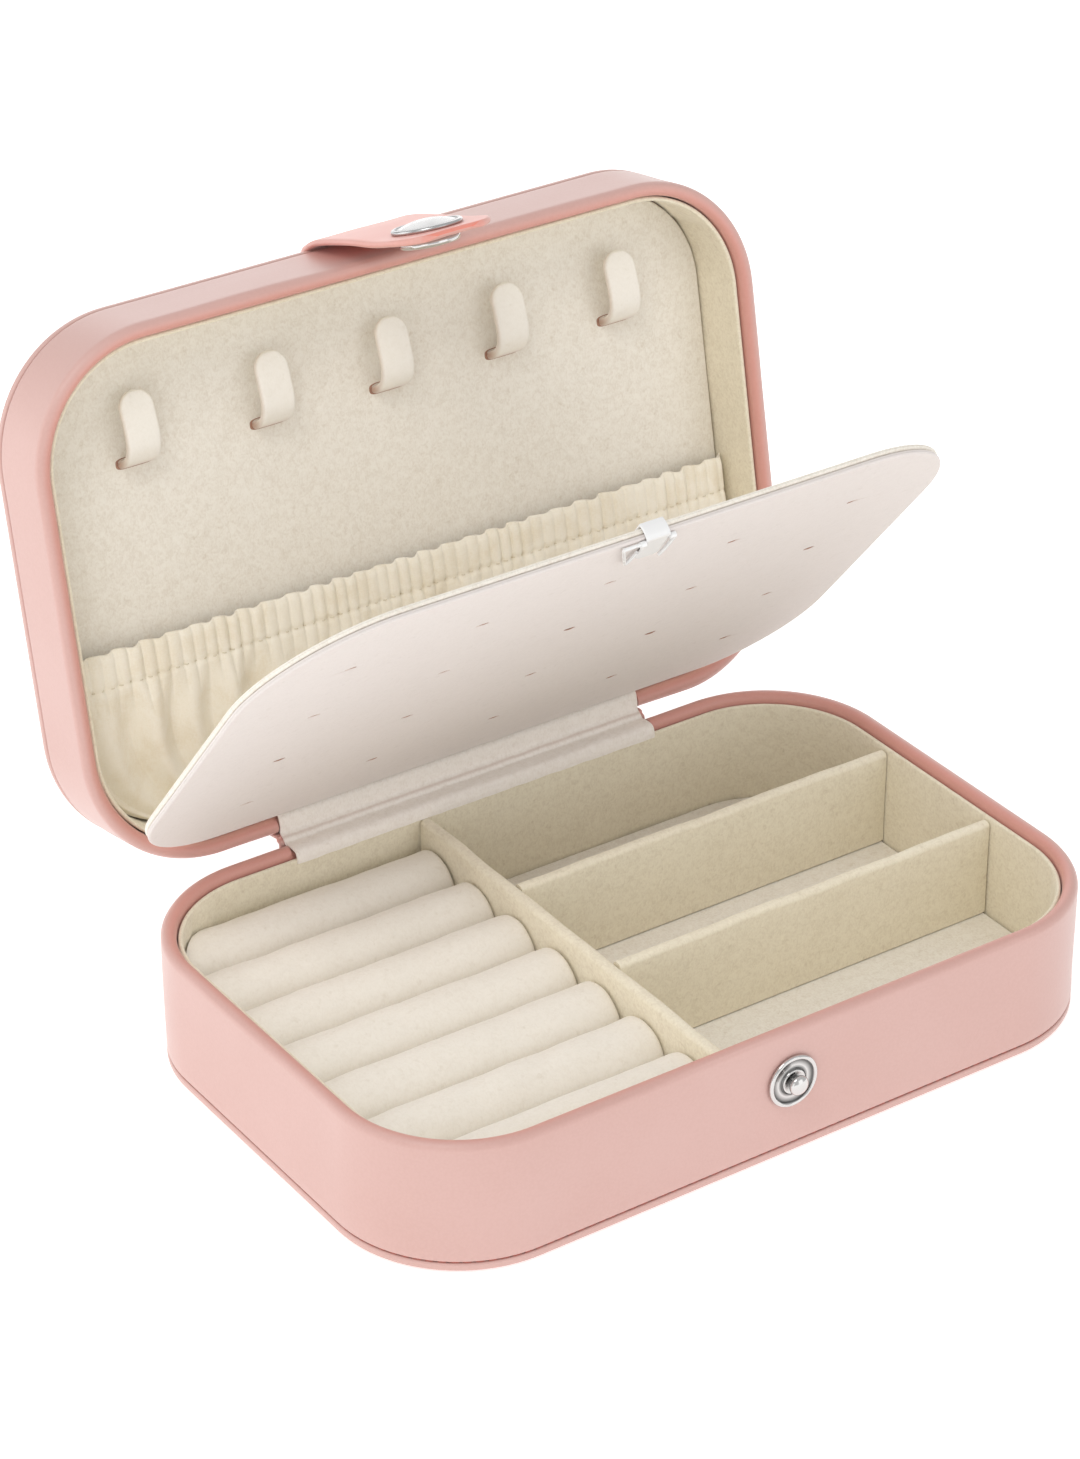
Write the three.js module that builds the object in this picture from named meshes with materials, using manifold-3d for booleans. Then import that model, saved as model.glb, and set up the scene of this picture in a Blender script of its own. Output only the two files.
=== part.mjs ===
// A two-layer travel jewellery box: a leather-wrapped base and lid joined by a fabric hinge,
// a velvet earring board between them, ring rolls and dividers in the base, necklace hooks and
// a gathered elastic pocket in the lid, and a snap strap at the front.
// Millimetres, +Z up, +X to the right and +Y to the back as seen from the front.
// The origin is the centre of the base's underside. The lid stands open.

import * as THREE from 'three';
import { mergeVertices } from 'three/addons/utils/BufferGeometryUtils.js';
import Module from 'manifold-3d';

const wasm = await Module();
wasm.setup();
const { Manifold, Mesh: ManifoldMesh } = wasm;

// ---------------------------------------------------------------- driving sizes

const boxWidth = 165;
const boxDepth = 108;
const cornerRadius = 26.5;
const baseHeight = 27.8;
const lidHeight = 17.5;
const openAngle = 101;          // lid, degrees from closed
const boardOpenAngle = 50.5;    // earring board, degrees from closed
const rimGap = 1.0;             // between the two rims when the box is closed

const fit = 0.3;                // clearance between neighbouring pieces
const leather = 0.5;            // leather skin
const wallBoard = 1.4;          // greyboard in the walls
const panelBoard = 1.0;         // greyboard in the bottom and the top
const linerThickness = 0.9;     // velvet-covered card inside the walls
const linerDrop = 1.8;          // liner's edge below the rim

const floorPadThickness = 2.0;
const lidPadThickness = 1.5;
const dividerThickness = 2.6;
const dividerDrop = 2.6;        // dividers' top below the rim
const ringBayWidth = 63.7;      // left bay, from the liner to the long divider
const backBayDepth = 30.0;
const middleBayDepth = 30.4;
const rollCount = 7;
const rollTop = 21.4;           // above the underside of the base

const cardThickness = 0.95;     // each of the board's two cards
const boardFrontRadius = 27;
const boardBackRadius = 22;
const boardSideGap = 0.6;       // board to the inside of the rim
const boardFrontGap = 1.6;
const boardHingeInset = 5.4;    // board's back edge, in from the outside of the back wall
const boardLift = 0.3;          // board's middle plane above the base rim, when closed
const slitLength = 2.6;
const slitWidth = 0.6;
const slitColumns = 5;
const slitRows = 4;
const slitColumnPitch = 28.4;
const slitRowPitch = 20.8;
const firstSlitRow = 16.4;      // from the board's hinge edge

const ribbonWidth = 86;
const ribbonThickness = 0.6;
const hingeLeatherWidth = 88;
const hingeLeatherThickness = 0.8;
const hingeLeatherReach = 16;   // glued length up each back wall
const hingeAxisOut = 0.85;      // hinge line behind the back walls

const snapHeight = 16.5;        // snap's centre above the underside of the base
const studFlangeRadius = 5.5;
const studHeadRadius = 2.3;
const studHeight = 2.9;         // head's top, out from the front wall
const studShankRadius = 1.3;
const washerRadius = 4.0;
const washerThickness = 0.6;
const socketRadius = 6.0;
const socketHeight = 2.1;
const socketBoreRadius = 3.0;
const capRadius = 7.0;
const capHeight = 2.7;
const strapWidth = 22;
const strapThickness = 1.3;
const strapEndBelowSnap = 10;
const strapCornerRadius = 7;
const strapAnchorLength = 14;
const strapLiftAtSnap = 5.3;    // strap's inner face, out from the lid's front wall

const hookCount = 5;
const hookPitch = 27.7;
const hookShifts = [0.0, 2.1, 1.8, 1.4, 1.0]; // each hook's own shift to the right
const hookWidth = 7.4;
const hookThickness = 1.6;
const hookSlitFromFront = 30;   // slit's distance from the outside of the front wall
const hookLength = 14.8;
const hookStandOff = 5.0;       // bulge's middle above the pad
const hookTipStandOff = 3.2;

const pocketHeight = 43.2;      // header's edge, from the outside of the back wall
const pocketSheet = 0.8;
const pocketStandOff = 4.0;     // outer face of the header above the pad
const headerHeight = 7.0;
const elasticWidth = 5.0;
const elasticThickness = 0.6;

const clipWidth = 5.4;
const clipCentre = 2.6;
const clipPlate = 0.5;
const clipGrip = 8.6;
const clipWireRadius = 0.35;

// ---------------------------------------------------------------- sizes that follow

const wall = 2 * leather + 2 * fit + wallBoard;
const panel = leather + fit + panelBoard;
const linerInset = wall + fit;
const cavityInset = linerInset + linerThickness;
const padInset = cavityInset + fit;
const wallFoot = panel + fit;
const halfDepth = boxDepth / 2;
const closedTop = baseHeight + rimGap + lidHeight;
const hingeY = halfDepth + hingeAxisOut;
const hingeZ = baseHeight + rimGap / 2;
const boardPivotY = halfDepth - boardHingeInset;
const boardPivotZ = baseHeight + boardLift;
const boardWidth = boxWidth - 2 * (wall + boardSideGap);
const boardDepth = boardPivotY + halfDepth - wall - boardFrontGap;
const boardHalf = cardThickness + fit / 2;
const hingeRelief = ribbonThickness + fit;
const dividerTop = baseHeight - dividerDrop;
const baseFloor = wallFoot + floorPadThickness + fit;
const longDividerX = -boxWidth / 2 + cavityInset + ringBayWidth + dividerThickness / 2;
const padFace = wallFoot + lidPadThickness;
const pivotZ = closedTop - leather;

// ---------------------------------------------------------------- shape helpers

const arcSteps = 4;             // steps per eighth of a turn in plan
const crownShare = 0.46;        // rounding of a wall's top edge, as a share of its thickness
const rad = THREE.MathUtils.degToRad;

/** Closed outline of a rectangle whose front (y < 0) and back corners have their own radii. */
function roundedRectangle(width, depth, frontRadius, backRadius = frontRadius, middle = 0) {
  const x = width / 2;
  const y0 = middle - depth / 2;
  const y1 = middle + depth / 2;
  const shape = new THREE.Shape();
  shape.moveTo(-x + frontRadius, y0);
  shape.absarc(x - frontRadius, y0 + frontRadius, frontRadius, -Math.PI / 2, 0);
  shape.absarc(x - backRadius, y1 - backRadius, backRadius, 0, Math.PI / 2);
  shape.absarc(-x + backRadius, y1 - backRadius, backRadius, Math.PI / 2, Math.PI);
  shape.absarc(-x + frontRadius, y0 + frontRadius, frontRadius, Math.PI, 1.5 * Math.PI);
  return shape;
}

/** The box's plan outline, moved in from the outside by an inset. */
const boxOutline = (inset) =>
  roundedRectangle(boxWidth - 2 * inset, boxDepth - 2 * inset, cornerRadius - inset);

/** Joins the loose faces of a geometry into one closed solid. */
function solid(geometry) {
  geometry.deleteAttribute('normal');
  geometry.deleteAttribute('uv');
  const merged = mergeVertices(geometry, 1e-4);
  return new Manifold(new ManifoldMesh({
    numProp: 3,
    vertProperties: new Float32Array(merged.attributes.position.array),
    triVerts: new Uint32Array(merged.index.array),
  }));
}

/** Turns a solid back into a geometry with flat-shaded faces. */
function geometryOf(body) {
  const { vertProperties, triVerts } = body.getMesh();
  const geometry = new THREE.BufferGeometry();
  geometry.setAttribute('position', new THREE.BufferAttribute(vertProperties, 3));
  geometry.setIndex(new THREE.BufferAttribute(triVerts, 1));
  geometry.computeVertexNormals();
  return geometry;
}

/** A flat outline raised from low to high; a bevel rounds its top and bottom edges. */
function slab(outline, low, high, bevel = 0, holes = []) {
  outline.holes.push(...holes);
  const geometry = new THREE.ExtrudeGeometry(outline, {
    depth: high - low - 2 * bevel,
    curveSegments: arcSteps,
    bevelEnabled: bevel > 0,
    bevelThickness: bevel,
    bevelSize: bevel,
    bevelOffset: -bevel,
    bevelSegments: 2,
  });
  geometry.translate(0, 0, low + bevel);
  return solid(geometry);
}

/** A ring that follows the box's outline between two insets, with a rounded top edge. */
function ring(outerInset, innerInset, low, high) {
  const crown = crownShare * (innerInset - outerInset);
  const spare = 2 * crown + 1;
  const full = slab(boxOutline(outerInset), low - spare, high, crown, [boxOutline(innerInset)]);
  return full.subtract(slab(boxOutline(-1), low - spare - 1, low));
}

/** An axis-aligned block between two corners. */
function block(low, high) {
  const size = high.map((value, axis) => value - low[axis]);
  const geometry = new THREE.BoxGeometry(...size);
  geometry.translate(...low.map((value, axis) => value + size[axis] / 2));
  return solid(geometry);
}

/** A closed outline in the YZ plane, given as [y, z] points, carried from x0 to x1. */
function bar(points, x0, x1) {
  const shape = new THREE.Shape(points.map(([y, z]) => new THREE.Vector2(y, z)));
  const geometry = new THREE.ExtrudeGeometry(shape, { depth: x1 - x0, bevelEnabled: false });
  // The outline's own x and y become Y and Z, and its depth becomes X.
  geometry.applyMatrix4(new THREE.Matrix4().makeBasis(
    new THREE.Vector3(0, 1, 0), new THREE.Vector3(0, 0, 1), new THREE.Vector3(1, 0, 0)));
  geometry.translate(x0, 0, 0);
  return solid(geometry);
}

/** A flat strip of even thickness whose middle line runs along a curve of [y, z] points. */
function strip(points, thickness, x0, x1, steps = 18) {
  const curve = new THREE.SplineCurve(points.map(([y, z]) => new THREE.Vector2(y, z)));
  const sides = [1, -1].map((side) => curve.getPoints(steps).map((point, index) => {
    const tangent = curve.getTangent(index / steps);
    const reach = side * thickness / 2;
    return [point.x - tangent.y * reach, point.y + tangent.x * reach];
  }));
  return bar([...sides[0].reverse(), ...sides[1]], x0, x1);
}

/** A turned piece: [radius, height] points spun about Z, from the axis back to the axis. */
function turned(points, segments = 24) {
  const profile = points.map(([radius, height]) => new THREE.Vector2(radius, height));
  // A lathe spins about Y, so its axis is stood up afterwards.
  return solid(new THREE.LatheGeometry(profile, segments).rotateX(Math.PI / 2));
}

/** A straight round bar along Y through (x, z). */
function pegAlongY(radius, y0, y1, x, z, segments = 24) {
  const geometry = new THREE.CylinderGeometry(radius, radius, y1 - y0, segments);
  geometry.translate(x, (y0 + y1) / 2, z);
  return solid(geometry);
}

// ---------------------------------------------------------------- finishes

const finish = (color, roughness, metalness = 0) =>
  new THREE.MeshStandardMaterial({ color, roughness, metalness });

const finishes = {
  leather: finish(0xe6c4bb, 0.55),
  velvet: finish(0xd9cfc2, 0.95),
  paleVelvet: finish(0xdcd5cf, 0.95),
  greyboard: finish(0x9a9084, 0.9),
  steel: finish(0xc9ccd0, 0.25, 1),
  whitePlastic: finish(0xf2f2f2, 0.4),
  elastic: finish(0xe8e2d6, 0.9),
};

/** Adds one named piece, made of a solid and a finish, to a group. */
function add(group, name, body, material) {
  const mesh = new THREE.Mesh(geometryOf(body), material);
  mesh.name = name;
  group.add(mesh);
  return mesh;
}

// ---------------------------------------------------------------- what base and lid share

/** Cuts the seat for the hinge ribbon out of a back rim; side is the sign of the hinge's y. */
function withHingeSeat(body, height, side) {
  const half = ribbonWidth / 2 + fit;
  const [near, far] = [side * (halfDepth - wall - 1), side * (halfDepth + 1)].sort((a, b) => a - b);
  return body.subtract(block([-half, near, height - hingeRelief], [half, far, height + 1]));
}

/** The shell's pieces: a leather-wrapped panel, a leather-wrapped wall and a velvet liner. */
function shell(group, name, panelName, height, hingeSide, cut = (body) => body) {
  const panelTop = leather + fit + panelBoard;
  const pan = slab(boxOutline(0), 0, panelTop)
    .subtract(slab(boxOutline(leather), leather, panelTop + 1));
  add(group, `${name}_${panelName}_leather`, pan, finishes.leather);
  add(group, `${name}_${panelName}_board`,
    slab(boxOutline(leather + fit), leather + fit, panelTop), finishes.greyboard);

  const skin = ring(0, wall, wallFoot, height)
    .subtract(ring(leather, wall - leather, wallFoot - 1, height - leather));
  add(group, `${name}_wall_leather`, cut(withHingeSeat(skin, height, hingeSide)), finishes.leather);

  const core = leather + fit;
  const board = ring(core, wall - core, wallFoot, height - core);
  add(group, `${name}_wall_board`, cut(withHingeSeat(board, height, hingeSide)), finishes.greyboard);

  add(group, `${name}_liner`,
    ring(linerInset, cavityInset, wallFoot, height - linerDrop),
    finishes.velvet);
}

/** The two halves of the hinge that belong to one shell: velvet inside, leather outside. */
function hingeHalf(group, suffix, height, hingeSide) {
  const slabAt = (width, yIn, yOut, low, high) => {
    const [near, far] = [hingeSide * yIn, hingeSide * yOut].sort((a, b) => a - b);
    return block([-width / 2, near, low], [width / 2, far, high]);
  };
  const inner = halfDepth - wall - linerThickness;
  add(group, `hinge_velvet_${suffix}`,
    slabAt(ribbonWidth, inner, halfDepth, height - ribbonThickness, height), finishes.velvet);
  const face = halfDepth + fit;
  add(group, `hinge_leather_${suffix}`,
    slabAt(hingeLeatherWidth, face, face + hingeLeatherThickness,
      height - hingeLeatherReach, height - rimGap / 2), finishes.leather);
}

// ---------------------------------------------------------------- base

function buildBase() {
  const base = new THREE.Group();

  const shankHole = pegAlongY(studShankRadius + fit, -halfDepth - 1, -halfDepth + wall + 1,
    0, snapHeight);
  const washerSeat = pegAlongY(washerRadius + fit, -halfDepth + wall - washerThickness - fit,
    -halfDepth + wall + 0.5 * fit, 0, snapHeight);
  shell(base, 'base', 'bottom', baseHeight, 1,
    (body) => body.subtract(shankHole).subtract(washerSeat));
  hingeHalf(base, 'lower', baseHeight, 1);

  add(base, 'base_floor_pad', slab(boxOutline(padInset), wallFoot, wallFoot + floorPadThickness, 0.4),
    finishes.velvet);
  buildDividers(base);
  buildRingRolls(base);
  buildStud(base);
  return base;
}

/** A round-topped fabric-covered wall, as [across, z] points of its section. */
function dividerSection(middle) {
  const half = dividerThickness / 2;
  const points = [[middle - half, baseFloor], [middle + half, baseFloor]];
  for (let step = 0; step <= 6; step += 1) {
    const angle = Math.PI * step / 6;
    points.push([middle + half * Math.cos(angle), dividerTop - half + half * Math.sin(angle)]);
  }
  return points;
}

function buildDividers(base) {
  const reach = halfDepth - padInset;
  const long = bar(dividerSection(0), -reach, reach).rotate([0, 0, 90]);
  add(base, 'long_divider', long.translate([longDividerX, 0, 0]), finishes.velvet);

  const left = longDividerX + dividerThickness / 2 + fit;
  const right = boxWidth / 2 - padInset;
  const backY = halfDepth - cavityInset - backBayDepth - dividerThickness / 2;
  const frontY = backY - middleBayDepth - dividerThickness;
  const bay = slab(boxOutline(padInset), 0, baseHeight);
  add(base, 'cross_divider_back', bar(dividerSection(backY), left, right).intersect(bay),
    finishes.velvet);
  add(base, 'cross_divider_front', bar(dividerSection(frontY), left, right).intersect(bay),
    finishes.velvet);
}

/** Foam rolls lie side by side across the left bay; those at the ends follow the round corners. */
function buildRingRolls(base) {
  const pitch = (boxDepth - 2 * cavityInset - fit) / rollCount;
  const radius = (pitch - fit) / 2;
  const left = -boxWidth / 2 + padInset;
  const right = longDividerX - dividerThickness / 2 - fit;
  const bay = slab(boxOutline(padInset), 0, baseHeight);
  const foot = 2;
  for (let index = 0; index < rollCount; index += 1) {
    const middle = halfDepth - cavityInset - fit - radius - index * pitch;
    const points = [
      [middle - radius + foot, baseFloor], [middle + radius - foot, baseFloor],
      [middle + radius, baseFloor + foot],
    ];
    for (let step = 0; step <= 12; step += 1) {
      const angle = Math.PI * step / 12;
      points.push([middle + radius * Math.cos(angle), rollTop - radius + radius * Math.sin(angle)]);
    }
    points.push([middle - radius, baseFloor + foot]);
    add(base, `ring_roll_${index + 1}`, bar(points, left, right).intersect(bay), finishes.velvet);
  }
}

/** Snap stud: a dished flange and a mushroom head on the front, its shank set in a washer inside. */
function buildStud(base) {
  const shankEnd = -(wall - washerThickness);
  const profile = [
    [0, -wall], [studShankRadius, -wall], [studShankRadius, fit],
    [studFlangeRadius - 0.5, fit], [studFlangeRadius, fit + 0.3], [studFlangeRadius - 0.4, 1.0],
    [studFlangeRadius - 1.2, 0.9], [studFlangeRadius - 1.9, 0.6], [studHeadRadius - 0.8, 0.6],
    [studHeadRadius - 0.8, studHeight - 1.5], [studHeadRadius, studHeight - 1.1],
    [studHeadRadius - 0.1, studHeight - 0.5], [studHeadRadius - 0.7, studHeight - 0.1],
    [0, studHeight],
  ];
  // The stud's own +Z becomes the outward normal of the front wall.
  const place = (body) => body.rotate([90, 0, 0]).translate([0, -halfDepth, snapHeight]);
  add(base, 'snap_stud', place(turned(profile)), finishes.steel);
  const washerHole = studShankRadius + fit;
  const washer = turned([
    [washerHole, -wall], [washerRadius, -wall], [washerRadius, shankEnd], [washerHole, shankEnd],
    [washerHole, -wall],
  ]);
  add(base, 'snap_stud_washer', place(washer), finishes.steel);
}

// ---------------------------------------------------------------- lid

// The lid is made lying on its outer face: z runs from the outer face to the rim, and its
// hinge is at negative y.
function buildLidShell() {
  const lid = new THREE.Group();
  shell(lid, 'lid', 'top', lidHeight, -1);
  hingeHalf(lid, 'upper', lidHeight, -1);

  const hookY = halfDepth - hookSlitFromFront;
  const hookXs = Array.from({ length: hookCount },
    (_, index) => (index - (hookCount - 1) / 2) * hookPitch + hookShifts[index]);
  let pad = slab(boxOutline(padInset), wallFoot, padFace, 0.3);
  for (const x of hookXs) {
    const halfWidth = hookWidth / 2 + fit;
    const halfSlit = hookThickness / 2 + fit;
    pad = pad.subtract(block([x - halfWidth, hookY - halfSlit, 0], [x + halfWidth, hookY + halfSlit, padFace + 1]));
  }
  add(lid, 'lid_pad', pad, finishes.velvet);
  hookXs.forEach((x, index) => {
    add(lid, `necklace_hook_${index + 1}`, hook(x, hookY), finishes.velvet);
  });
  buildPocket(lid);
  buildStrapAnchor(lid);
  buildBoardTab(lid);
  return lid;
}

/** A velvet-covered tongue: out of its slit, round a bulge and up to a rounded tip. */
function hook(x, slitY) {
  const profile = strip([
    [slitY, wallFoot + fit], [slitY, padFace + 0.6], [slitY + 1.6, padFace + 0.72 * hookStandOff],
    [slitY + 4.6, padFace + hookStandOff], [slitY + 0.66 * hookLength, padFace + hookStandOff - 0.6],
    [slitY + hookLength, padFace + hookTipStandOff],
  ], hookThickness, x - hookWidth / 2, x + hookWidth / 2);
  const tipRadius = hookWidth / 2 - 0.05;
  const length = hookLength + hookThickness;
  const plan = roundedRectangle(hookWidth, length, 0.2, tipRadius, slitY - hookThickness + length / 2);
  return profile.intersect(slab(plan, 0, lidHeight).translate([x, 0, 0]));
}

/** A gathered pouch: a sloping front sheet with a tubular header, closed along the lid's edge. */
function buildPocket(lid) {
  const foot = padFace + fit;
  const crest = padFace + pocketStandOff;
  const top = -halfDepth + pocketHeight;
  const bottom = -halfDepth + padInset;
  const profile = (inset, upper) => [
    [upper, foot - inset], [bottom, foot - inset], [bottom, foot + 2 * pocketSheet - inset],
    [bottom + 9, foot + 2.6 - inset], [top - headerHeight - 6, crest - 0.4 - inset],
    [upper, crest - inset],
  ];
  const across = boxWidth / 2;
  const outline = (inset) => slab(boxOutline(padInset + fit + inset), 0, lidHeight);
  const outer = bar(profile(0, top), -across, across).intersect(outline(0));
  const inner = bar(profile(pocketSheet, top + 1), -across, across).intersect(outline(pocketSheet));
  // The header is a flat tube along the open edge; its ends stay open, with the elastic inside.
  const wallOfTube = 0.5;
  const tubeLow = crest - 2 * wallOfTube - elasticThickness - 2 * fit;
  const tube = bar([[top, tubeLow], [top, crest], [top - headerHeight, crest],
    [top - headerHeight, tubeLow]], -across, across).intersect(outline(0));
  const channelHalf = elasticWidth / 2 + fit;
  const middle = top - headerHeight / 2;
  const channel = block([-boxWidth, middle - channelHalf, tubeLow + wallOfTube],
    [boxWidth, middle + channelHalf, crest - wallOfTube]);
  add(lid, 'elastic_pocket', outer.subtract(inner).add(tube).subtract(channel), finishes.velvet);
  const elasticLow = tubeLow + wallOfTube + fit;
  const elastic = block([-boxWidth, middle - elasticWidth / 2, elasticLow],
    [boxWidth, middle + elasticWidth / 2, elasticLow + elasticThickness]);
  add(lid, 'pocket_elastic', elastic.intersect(outline(fit)), finishes.elastic);
}

/** The strap's glued root, flat on the lid's outer face along the front edge. */
function buildStrapAnchor(lid) {
  add(lid, 'strap_anchor', block(
    [-strapWidth / 2, halfDepth - strapAnchorLength, -fit - strapThickness],
    [strapWidth / 2, halfDepth - fit, -fit]), finishes.leather);
}

/** The fabric tab that carries the board, on the inside of the lid's back liner. */
function buildBoardTab(lid) {
  const face = halfDepth - cavityInset - fit;
  add(lid, 'board_hinge_tab', block(
    [-ribbonWidth / 2, -face, lidHeight - linerDrop - 6],
    [ribbonWidth / 2, -face + ribbonThickness, lidHeight + rimGap - boardLift - fit]),
  finishes.velvet);
}

// ---------------------------------------------------------------- strap

// The strap is made in the closed box's frame, and its pieces are placed from the lid's front
// top edge, where it bends.
const strapPivotY = -halfDepth - fit;
const snapAlong = pivotZ - snapHeight;

/** How far the strap's inner face stands off the front wall, a distance along from its root. */
function strapStandOff(along) {
  const share = along / snapAlong;
  return fit + (strapLiftAtSnap - fit) * share + 1.1 * Math.sin(Math.PI * Math.min(share, 1)) * (1 - share);
}

function buildStrap() {
  const strap = new THREE.Group();
  const end = snapAlong + strapEndBelowSnap;
  const points = Array.from({ length: 8 }, (_, index) => {
    const along = 1.2 + (end - 1.2) * index / 7;
    return [-(strapStandOff(along) + strapThickness / 2) - halfDepth - strapPivotY, -along];
  });
  const plan = roundedRectangle(strapWidth, 2 * end, strapCornerRadius, 0.1);
  // The plan is stood up so that its front corners become the strap's free end.
  const blank = slab(plan, -20, 20).rotate([90, 0, 0]);
  const tilt = Math.atan2(strapStandOff(snapAlong + 1) - strapStandOff(snapAlong - 1), 2);
  const place = (body) => body.rotate([90 - THREE.MathUtils.radToDeg(tilt), 0, 0])
    .translate([0, -strapStandOff(snapAlong) - halfDepth - strapPivotY, -snapAlong]);
  const rivetHole = place(turned([[0, -1], [1.6, -1], [1.6, 3], [0, 3]]));
  add(strap, 'closure_strap',
    strip(points, strapThickness, -strapWidth / 2, strapWidth / 2, 24).intersect(blank)
      .subtract(rivetHole), finishes.leather);

  const seat = strapThickness + fit;
  const cap = turned([
    [0, 0.2], [1.2, 0.2], [1.2, seat], [capRadius - 0.4, seat], [capRadius, seat + 0.4],
    [capRadius - 0.3, seat + 0.9], [capRadius * 0.8, seat + 0.62 * capHeight],
    [capRadius * 0.5, seat + 0.9 * capHeight], [0, seat + capHeight],
  ]);
  add(strap, 'snap_cap', place(cap), finishes.steel);

  const socket = turned([
    [0, -0.5], [socketBoreRadius, -0.5], [socketBoreRadius, -socketHeight + 0.4],
    [socketBoreRadius + 0.4, -socketHeight], [socketRadius - 0.4, -socketHeight],
    [socketRadius, -socketHeight + 0.4], [socketRadius, -0.6], [socketRadius - 0.3, -0.2],
    [0, -0.2],
  ]);
  add(strap, 'snap_socket', place(socket), finishes.steel);
  return strap;
}

// ---------------------------------------------------------------- earring board

// The board is made from its hinge edge, running to negative y, with its middle plane at z = 0.
function buildBoard() {
  const board = new THREE.Group();
  const outline = () =>
    roundedRectangle(boardWidth, boardDepth, boardFrontRadius, boardBackRadius, -boardDepth / 2);
  let slits = null;
  for (let row = 0; row < slitRows; row += 1) {
    for (let column = 0; column < slitColumns; column += 1) {
      const x = (column - (slitColumns - 1) / 2) * slitColumnPitch;
      const y = -firstSlitRow - row * slitRowPitch;
      const slit = block([x - slitLength / 2, y - slitWidth / 2, -2],
        [x + slitLength / 2, y + slitWidth / 2, 2]);
      slits = slits ? slits.add(slit) : slit;
    }
  }
  const card = (low, high) => slab(outline(), low, high, 0.25).subtract(slits);
  add(board, 'board_front_card', card(-boardHalf, -fit / 2), finishes.paleVelvet);
  add(board, 'board_back_card', card(fit / 2, boardHalf), finishes.velvet);
  buildClip(board);
  return board;
}

/** A white clip folded over the board's free edge, with a bent wire bail on its front plate. */
function buildClip(board) {
  const gap = fit - 0.05;
  const outer = boardHalf + gap + clipPlate;
  const inner = boardHalf + gap;
  const edge = -boardDepth - gap;
  const plate = bar([
    [edge - clipPlate, -outer], [edge + clipGrip, -outer], [edge + clipGrip, -inner],
    [edge, -inner], [edge, inner], [edge + clipGrip - 2, inner], [edge + clipGrip - 2, outer],
    [edge - clipPlate, outer],
  ], clipCentre - clipWidth / 2, clipCentre + clipWidth / 2);
  add(board, 'edge_clip_plate', plate, finishes.whitePlastic);

  // Each bail is a bent wire beside the plate, given as steps outward and away from the edge. The
  // left one is an open triangle; the right one follows the plate to just past its foot.
  const bail = (name, side, steps) => {
    const x = clipCentre + side * (clipWidth / 2 + clipWireRadius + fit);
    const z = -inner - clipWireRadius;
    const corners = steps.map(([dx, dy]) => new THREE.Vector3(x + side * dx, edge + dy, z));
    const curve = new THREE.CatmullRomCurve3(corners, false, 'catmullrom', 0.15);
    const section = new THREE.Shape();
    section.absarc(0, 0, clipWireRadius, 0, 2 * Math.PI);
    const geometry = new THREE.ExtrudeGeometry(section,
      { steps: 10, curveSegments: 3, bevelEnabled: false, extrudePath: curve });
    add(board, name, solid(geometry), finishes.whitePlastic);
  };
  bail('edge_clip_bail_left', -1, [[0, 1.0], [4.9, 1.2], [0.6, 8.6], [0, 4.6]]);
  bail('edge_clip_bail_right', 1, [[0, 1.0], [0.8, 2.4], [0.7, 6.0], [0.1, 9.6]]);
}

// ---------------------------------------------------------------- assembly

/** A group whose origin is a hinge line, turned about X by an angle in degrees. */
function hinged(y, z, angle, child) {
  const hinge = new THREE.Group();
  hinge.position.set(0, y, z);
  hinge.rotation.x = rad(angle);
  hinge.add(child);
  return hinge;
}

const lidShell = buildLidShell();
lidShell.rotation.x = Math.PI;
lidShell.position.set(0, 0, closedTop);

const lidClosed = new THREE.Group();
lidClosed.position.set(0, -hingeY, -hingeZ);
lidClosed.add(lidShell);
lidClosed.add(hinged(boardPivotY, boardPivotZ, openAngle - boardOpenAngle, buildBoard()));
lidClosed.add(hinged(strapPivotY, pivotZ, 0, buildStrap()));

const jewelleryBox = new THREE.Group();
jewelleryBox.add(buildBase());
jewelleryBox.add(hinged(hingeY, hingeZ, -openAngle, lidClosed));

export default jewelleryBox;
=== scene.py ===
"""Two-layer travel jewellery box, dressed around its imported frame.

Lengths are millimetres in every class and become metres when a mesh is made. Shapes are worked
out with the box closed, in the frame's axes: X to the right, Y to the hinge, Z up. A Place then
carries them to where they rest with the lid open.
"""

from __future__ import annotations

import logging
import math
from dataclasses import dataclass, field
from enum import Enum
from typing import Sequence

import bpy
import numpy as np
from mathutils import Matrix, Vector

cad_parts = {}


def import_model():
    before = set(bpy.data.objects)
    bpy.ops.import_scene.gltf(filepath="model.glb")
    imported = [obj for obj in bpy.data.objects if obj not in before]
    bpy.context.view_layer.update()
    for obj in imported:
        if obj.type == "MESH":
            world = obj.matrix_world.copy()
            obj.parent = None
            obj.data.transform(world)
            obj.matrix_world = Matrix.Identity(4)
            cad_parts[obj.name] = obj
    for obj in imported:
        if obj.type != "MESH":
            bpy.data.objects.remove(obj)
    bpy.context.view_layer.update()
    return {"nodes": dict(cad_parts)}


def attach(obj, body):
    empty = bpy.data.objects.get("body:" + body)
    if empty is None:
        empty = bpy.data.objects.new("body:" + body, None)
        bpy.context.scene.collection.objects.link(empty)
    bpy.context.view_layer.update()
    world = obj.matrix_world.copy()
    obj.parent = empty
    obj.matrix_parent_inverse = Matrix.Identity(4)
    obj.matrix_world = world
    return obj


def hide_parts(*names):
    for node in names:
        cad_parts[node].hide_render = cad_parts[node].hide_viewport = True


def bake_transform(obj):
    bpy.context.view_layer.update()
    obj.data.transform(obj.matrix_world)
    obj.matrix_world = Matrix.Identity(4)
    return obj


LOG = logging.getLogger("jewellery_box")
MM = 0.001

Array = np.ndarray
Colour = tuple[float, float, float]


# ------------------------------------------------------------------ places


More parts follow.
